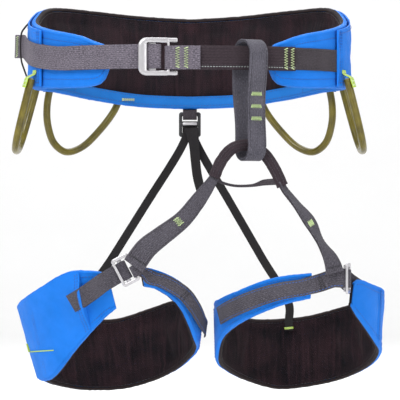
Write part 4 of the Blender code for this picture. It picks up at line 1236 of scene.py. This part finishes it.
bars_l = BUCKLE_L.to_3x3() @ Vector((0, 1, 0))
bars_r = BUCKLE_R.to_3x3() @ Vector((0, -1, 0))
under = [(-336, -0.2600), (-341, -0.2550), (-346, -0.2495), (-351, -0.2435), (-356, -0.2375)]
route = [leg_z(LEG_L, LEG_L_EDGE, phi, z, 0.0134) for phi, z in under]
route += turn_points(BUCKLE_L)
route += [leg_z(LEG_L, LEG_L_EDGE, phi, z, 0.0172) for phi, z in reversed(under)]
lean = [lean_side(LEG_L, LEG_L_EDGE, phi, 0.52) for phi, z in under]
sides = lean + [bars_l] * 15 + lean[::-1]
piece = Piece("leg_adjuster_left")
strap = Strap(piece, route, LEG_STRAP_W, LEG_STRAP_T, sides, LEG_GREY, 190, ripple=0.00018, seed=6)
for s in (0.03, 0.965):
    tack(piece, strap, s, -0.85, 0.85, 0.0022, DARK_THREAD)
piece.build("left_leg", "grey_webbing", "leg_strap_left")

inside = [(-304, -0.2500, -0.0020), (-311, -0.2460, -0.0022), (-317, -0.2420, -0.0028),
          (-322, -0.2380, -0.0042)]
route = [leg_z(LEG_R, LEG_R_EDGE, phi, z, off) for phi, z, off in inside]
route += turn_points(BUCKLE_R)[:-1]
route.append(BUCKLE_R @ Vector((-0.0110, 0.0, -0.0024)))
lean = [lean_side(LEG_R, LEG_R_EDGE, phi, 0.0) for phi, z, off in inside]
piece = Piece("leg_adjuster_right")
strap = Strap(piece, route, LEG_STRAP_W, LEG_STRAP_T, lean + [bars_r] * 15, LEG_GREY, 160, ripple=0.00018,
              seed=7)
tape_rows(piece, strap, DARK_THREAD, 0.03, 0.3)
piece.build("right_leg", "grey_webbing", "leg_strap_right")

# Inner webbings: folded round the fixed bar of the buckle, then along the leg band.
route = [BUCKLE_L @ Vector((u, -0.0055, 0.0034)) for u in (0.0140, 0.0110, 0.0085)]
for k in range(1, 8):
    t = math.pi * k / 8
    route.append(BUCKLE_L @ Vector((0.0080 - 0.0034 * math.sin(t), -0.0055, 0.0034 * math.cos(t))))
route += [BUCKLE_L @ Vector((0.0090, -0.0057, -0.0035)), BUCKLE_L @ Vector((0.0125, -0.0080, -0.0050))]
sides = [bars_l] * len(route)
for phi in (-25, -31, -39, -50, -62, -74, -86, -97):
    route.append(leg_at(LEG_L, LEG_L_EDGE, phi, 0.5, 0.0118 if phi > -35 else 0.0116))
    sides.append((leg_at(LEG_L, LEG_L_EDGE, phi, 1, 0.0082)
                  - leg_at(LEG_L, LEG_L_EDGE, phi, 0, 0.0082)).normalized())
widths = [0.0125] * 11 + [0.0135] + [0.0155] * 8
piece = Piece("leg_band_webbing_left")
strap = Strap(piece, route, widths, LEG_STRAP_T, sides, LEG_GREY, 170, ripple=0.0002, seed=9)
tape_rows(piece, strap, BLUE_THREAD, 0.28, 0.99, sides=(-0.7, 0.7))
for s in (0.62, 0.64, 0.985):
    tack(piece, strap, s, -0.85, 0.85, 0.0018, DARK_THREAD)
piece.build("left_leg", "grey_webbing", "leg_webbing_left")

fixed = BUCKLE_R @ Vector((0.0080, 0, 0))
route = [leg_at(LEG_R, LEG_R_EDGE, phi, 0.5, 0.0112) for phi in (-66, -56, -46, -36, -25, -12, 0)]
sides = [lean_side(LEG_R, LEG_R_EDGE, phi, lean) for phi, lean in (
    (-66, 0.25), (-56, 0.25), (-46, 0.22), (-36, 0.2), (-25, 0.15), (-12, 0.1), (0, 0.05))]
route.append(Vector((0.1385, -0.0945, -0.2375)))
for dx, dy in ((-0.0150, -0.0012), (-0.0060, -0.0030), (0, -0.0031), (0.0022, -0.0022),
               (0.0031, 0), (0.0022, 0.0022), (0, 0.0031), (-0.0060, 0.0034), (-0.0110, 0.0048)):
    route.append(Vector((fixed.x + dx, fixed.y + dy, -0.2330)))
sides += [UP] * 10
piece = Piece("leg_band_webbing_right")
strap = Strap(piece, route, 0.0192, LEG_STRAP_T, sides, LEG_GREY, 190, ripple=0.0002, seed=10)
tape_rows(piece, strap, BLUE_THREAD, 0.01, 0.74, sides=(-0.78, 0.78))
for s in (0.60, 0.615):
    tack(piece, strap, s, -0.88, 0.88, 0.0018, DARK_THREAD)
piece.build("right_leg", "grey_webbing", "leg_webbing_right")

# Leg risers, from the ends of the arch down to the leg buckles: two layers sewn together.
low = BUCKLE_L @ Vector((0.0095, 0, 0.0068))
# For each side: the points, the widths there, and the directions of the width.
RISERS = {
    "left": ([(0.0285, -0.1236, -0.1220), (0.0245, -0.1240, -0.1295), (0.0115, -0.1235, -0.1480),
              (-0.0063, -0.1205, -0.1700), (-0.0290, -0.1150, -0.1880), (-0.0450, -0.1100, -0.2010), low],
             [0.0095, 0.0110, 0.0160, 0.0185, 0.0210, 0.0230, 0.0240],
             [(0.70, 0.1, -0.70), (0.70, 0.1, -0.70), (0.75, 0.1, -0.65), (0.73, 0.1, -0.67),
              (0.60, 0, -0.78), (0.55, 0, -0.83), -bars_l]),
    "right": ([(0.0962, -0.1006, -0.1300), (0.1000, -0.1000, -0.1378), (0.1130, -0.0995, -0.1545),
               (0.1265, -0.0990, -0.1720), (0.1390, -0.0990, -0.1950), (0.1495, -0.1000, -0.2130),
               (0.1538, -0.1010, -0.2270)],
              [0.0085, 0.0100, 0.0150, 0.0180, 0.0180, 0.0190, 0.0190],
              [(0.45, 0.85, 0.2), (0.45, 0.85, 0.2), (0.40, 0.90, 0.2), (0.55, 0.75, 0.35),
               (0.30, 0.90, 0.2), (0.65, 0.60, 0.45), (0.95, 0.10, 0.25)]),
}
for side, (route, widths, sides) in RISERS.items():
    piece = Piece("leg_riser_webbing_" + side)
    fine = spline([(*p, *s, w) for p, s, w in zip(route, sides, widths)], 40)
    offsets = []
    for i, row in enumerate(fine):
        along = Vector(fine[min(i + 1, 39)][:3]) - Vector(fine[max(i - 1, 0)][:3])
        offsets.append(along.cross(Vector(row[3:6])).normalized())
    for layer, mat in ((0.00095, LEG_GREY), (-0.00095, DARK)):
        points = [Vector(r[:3]) + n * layer for r, n in zip(fine, offsets)]
        strap = Strap(piece, points, [r[6] * (1.0 if layer > 0 else 0.94) for r in fine], 0.0016,
                      [Vector(r[3:6]) for r in fine], mat, 120, ripple=0.00025, seed=11 + layer)
        for s in (0.06, 0.94):
            tack(piece, strap, s, -0.86, 0.86, 0.0022, DARK_THREAD, lift=math.copysign(0.0002, layer),
                 radius=0.00042)
        for s in (0.475, 0.49, 0.505):
            tack(piece, strap, s, -0.62, 0.30, 0.0026, THREAD, lift=math.copysign(0.0002, layer),
                 radius=0.00045)
        tape_rows(piece, strap, DARK_THREAD, 0.06, 0.94, lift=math.copysign(0.0001, layer))
    piece.build(("leg_hanger", side + "_leg", tuple(route[0]), tuple(route[3])), "grey_webbing",
                "leg_riser_" + side)

# Elastic risers, from the rear buckle down to the inside of the leg pads.
for side, leg, table, sign, top_y, phi in (("left", LEG_L, LEG_L_EDGE, -1, 0.1085, -200.0),
                                           ("right", LEG_R, LEG_R_EDGE, 1, 0.1160, -174.5)):
    foot = [leg_at(leg, table, phi, v, off) for v, off in ((1.22, -0.0024), (0.98, -0.0018), (0.84, -0.0016))]
    start = Vector((sign * 0.0004, top_y, -0.0695))
    mid = Vector((sign * 0.0110, top_y - 0.0018, -0.0925))
    along_pad = leg_at(leg, table, phi + 2, 0.9, 0) - leg_at(leg, table, phi - 2, 0.9, 0)
    along_pad = along_pad.normalized() * math.copysign(1, along_pad.x)
    flat = Vector((0.88, 0, sign * 0.46))
    piece = Piece("elastic_riser_band_" + side)
    strap = Strap(piece, [start, mid, mid.lerp(foot[0], 0.35), mid.lerp(foot[0], 0.7)] + foot, 0.0094, 0.0014,
                  [flat] * 3 + [flat.lerp(along_pad, 0.5)] + [along_pad] * 3, ELASTIC, 150, ripple=0.00012)
    tack(piece, strap, 0.965, -0.8, 0.8, 0.0018, DARK_THREAD)
    piece.build(("leg_hanger", side + "_leg", tuple(start), tuple(mid.lerp(foot[0], 0.6))),
                "black_elastic", "elastic_riser_" + side)
    tab = foot[2] + Vector((0, -0.0019, 0.0030))
    piece = Piece("riser_foot_tab_" + side)
    strap = Strap(piece, [tab - along_pad * 0.0050, tab, tab + along_pad * 0.0050],
                  0.0024, 0.0010, UP, LIME, 24)
    tape_rows(piece, strap, THREAD, 0.05, 0.95, sides=(-0.6, 0.6), pitch=0.0022)
    piece.build(side + "_leg", "lime_webbing", "riser_tab_" + side)

piece = Piece("edge_tab_sewn")


def edge_tab_v(phi, v, off):
    return leg_at(LEG_L, LEG_L_EDGE, phi, 0.36 + 0.11 * v, off)


skin(piece, edge_tab_v, span(-282.4, -278.8, 8), span(0, 1, 5), 0.0072, 0.0098, LIME, LIME)
stitches(piece, [edge_tab_v(p, 0.5, 0.0100) for p in span(-282, -279, 6)], THREAD, 0.0020)
piece.build("left_leg", "lime_webbing", "edge_tab_left")

# ---- camera, floor and light ----
CAMERA_AT, LENS_MM = (0.0116, -2.6, -0.150), 213.4
camera = bpy.data.objects.new("camera", bpy.data.cameras.new("camera"))
bpy.context.collection.objects.link(camera)
camera.location = CAMERA_AT
camera.rotation_euler = (math.radians(90), 0, 0)
camera.data.sensor_width = 36.0
camera.data.lens = LENS_MM
camera.data.clip_start, camera.data.clip_end = 0.05, 30
bpy.context.scene.camera = camera

# The floor bends up into a wall, further back than any camera stands.
FLOOR_Z, HALF_WIDTH, BEND_FROM, BEND_R, WALL_TOP = -0.440, 4.5, 2.4, 0.9, 4.0
profile = [(-4.0, 0.0), (BEND_FROM, 0.0)]
profile += [(BEND_FROM + BEND_R * math.sin(math.radians(a)), BEND_R - BEND_R * math.cos(math.radians(a)))
            for a in range(6, 91, 6)] + [(BEND_FROM + BEND_R, WALL_TOP)]
rows = [[(x, y, FLOOR_Z + z) for x in (-HALF_WIDTH, HALF_WIDTH)] for y, z in profile]
floor_mesh = bpy.data.meshes.new("floor")
floor_mesh.from_pydata([p for row in rows for p in row], [],
                       [(2 * i, 2 * i + 1, 2 * i + 3, 2 * i + 2) for i in range(len(rows) - 1)])
floor_mesh.polygons.foreach_set("use_smooth", [True] * len(floor_mesh.polygons))
floor = bpy.data.objects.new("floor", floor_mesh)
bpy.context.collection.objects.link(floor)
PAPER, PALE_PAPER = (0.93, 0.93, 0.93), (0.95, 0.95, 0.95)
paper = Shade("pale_paper", PAPER, 0.9)
cloud = paper.between(paper.noise(paper.position(1.0), 3.0), 0.3, 0.7)
floor_mesh.materials.append(paper.paint(paper.mix(cloud, PAPER, PALE_PAPER)))

world = bpy.data.worlds.new("studio")
world.use_nodes = True
world.node_tree.nodes["Background"].inputs[0].default_value = (1.0, 1.0, 1.0, 1)
world.node_tree.nodes["Background"].inputs[1].default_value = 0.82
bpy.context.scene.world = world
# Soft lamps: name, place, side in metres, watts.
LAMPS = (("key", (-1.1, -1.9, 1.3), 0.9, 36), ("fill", (1.5, -1.6, 0.4), 1.0, 11),
         ("top", (0.1, 0.1, 1.7), 1.2, 14), ("back", (0.0, 1.0, 0.9), 1.0, 8))
for name, where, size, power in LAMPS:
    data = bpy.data.lights.new(name, "AREA")
    data.size, data.energy = size, power
    lamp = bpy.data.objects.new(name, data)
    lamp.location = where
    lamp.rotation_euler = (Vector((0, 0, -0.15)) - Vector(where)).to_track_quat("-Z", "Y").to_euler()
    bpy.context.collection.objects.link(lamp)
bpy.context.scene.view_settings.view_transform = "Standard"
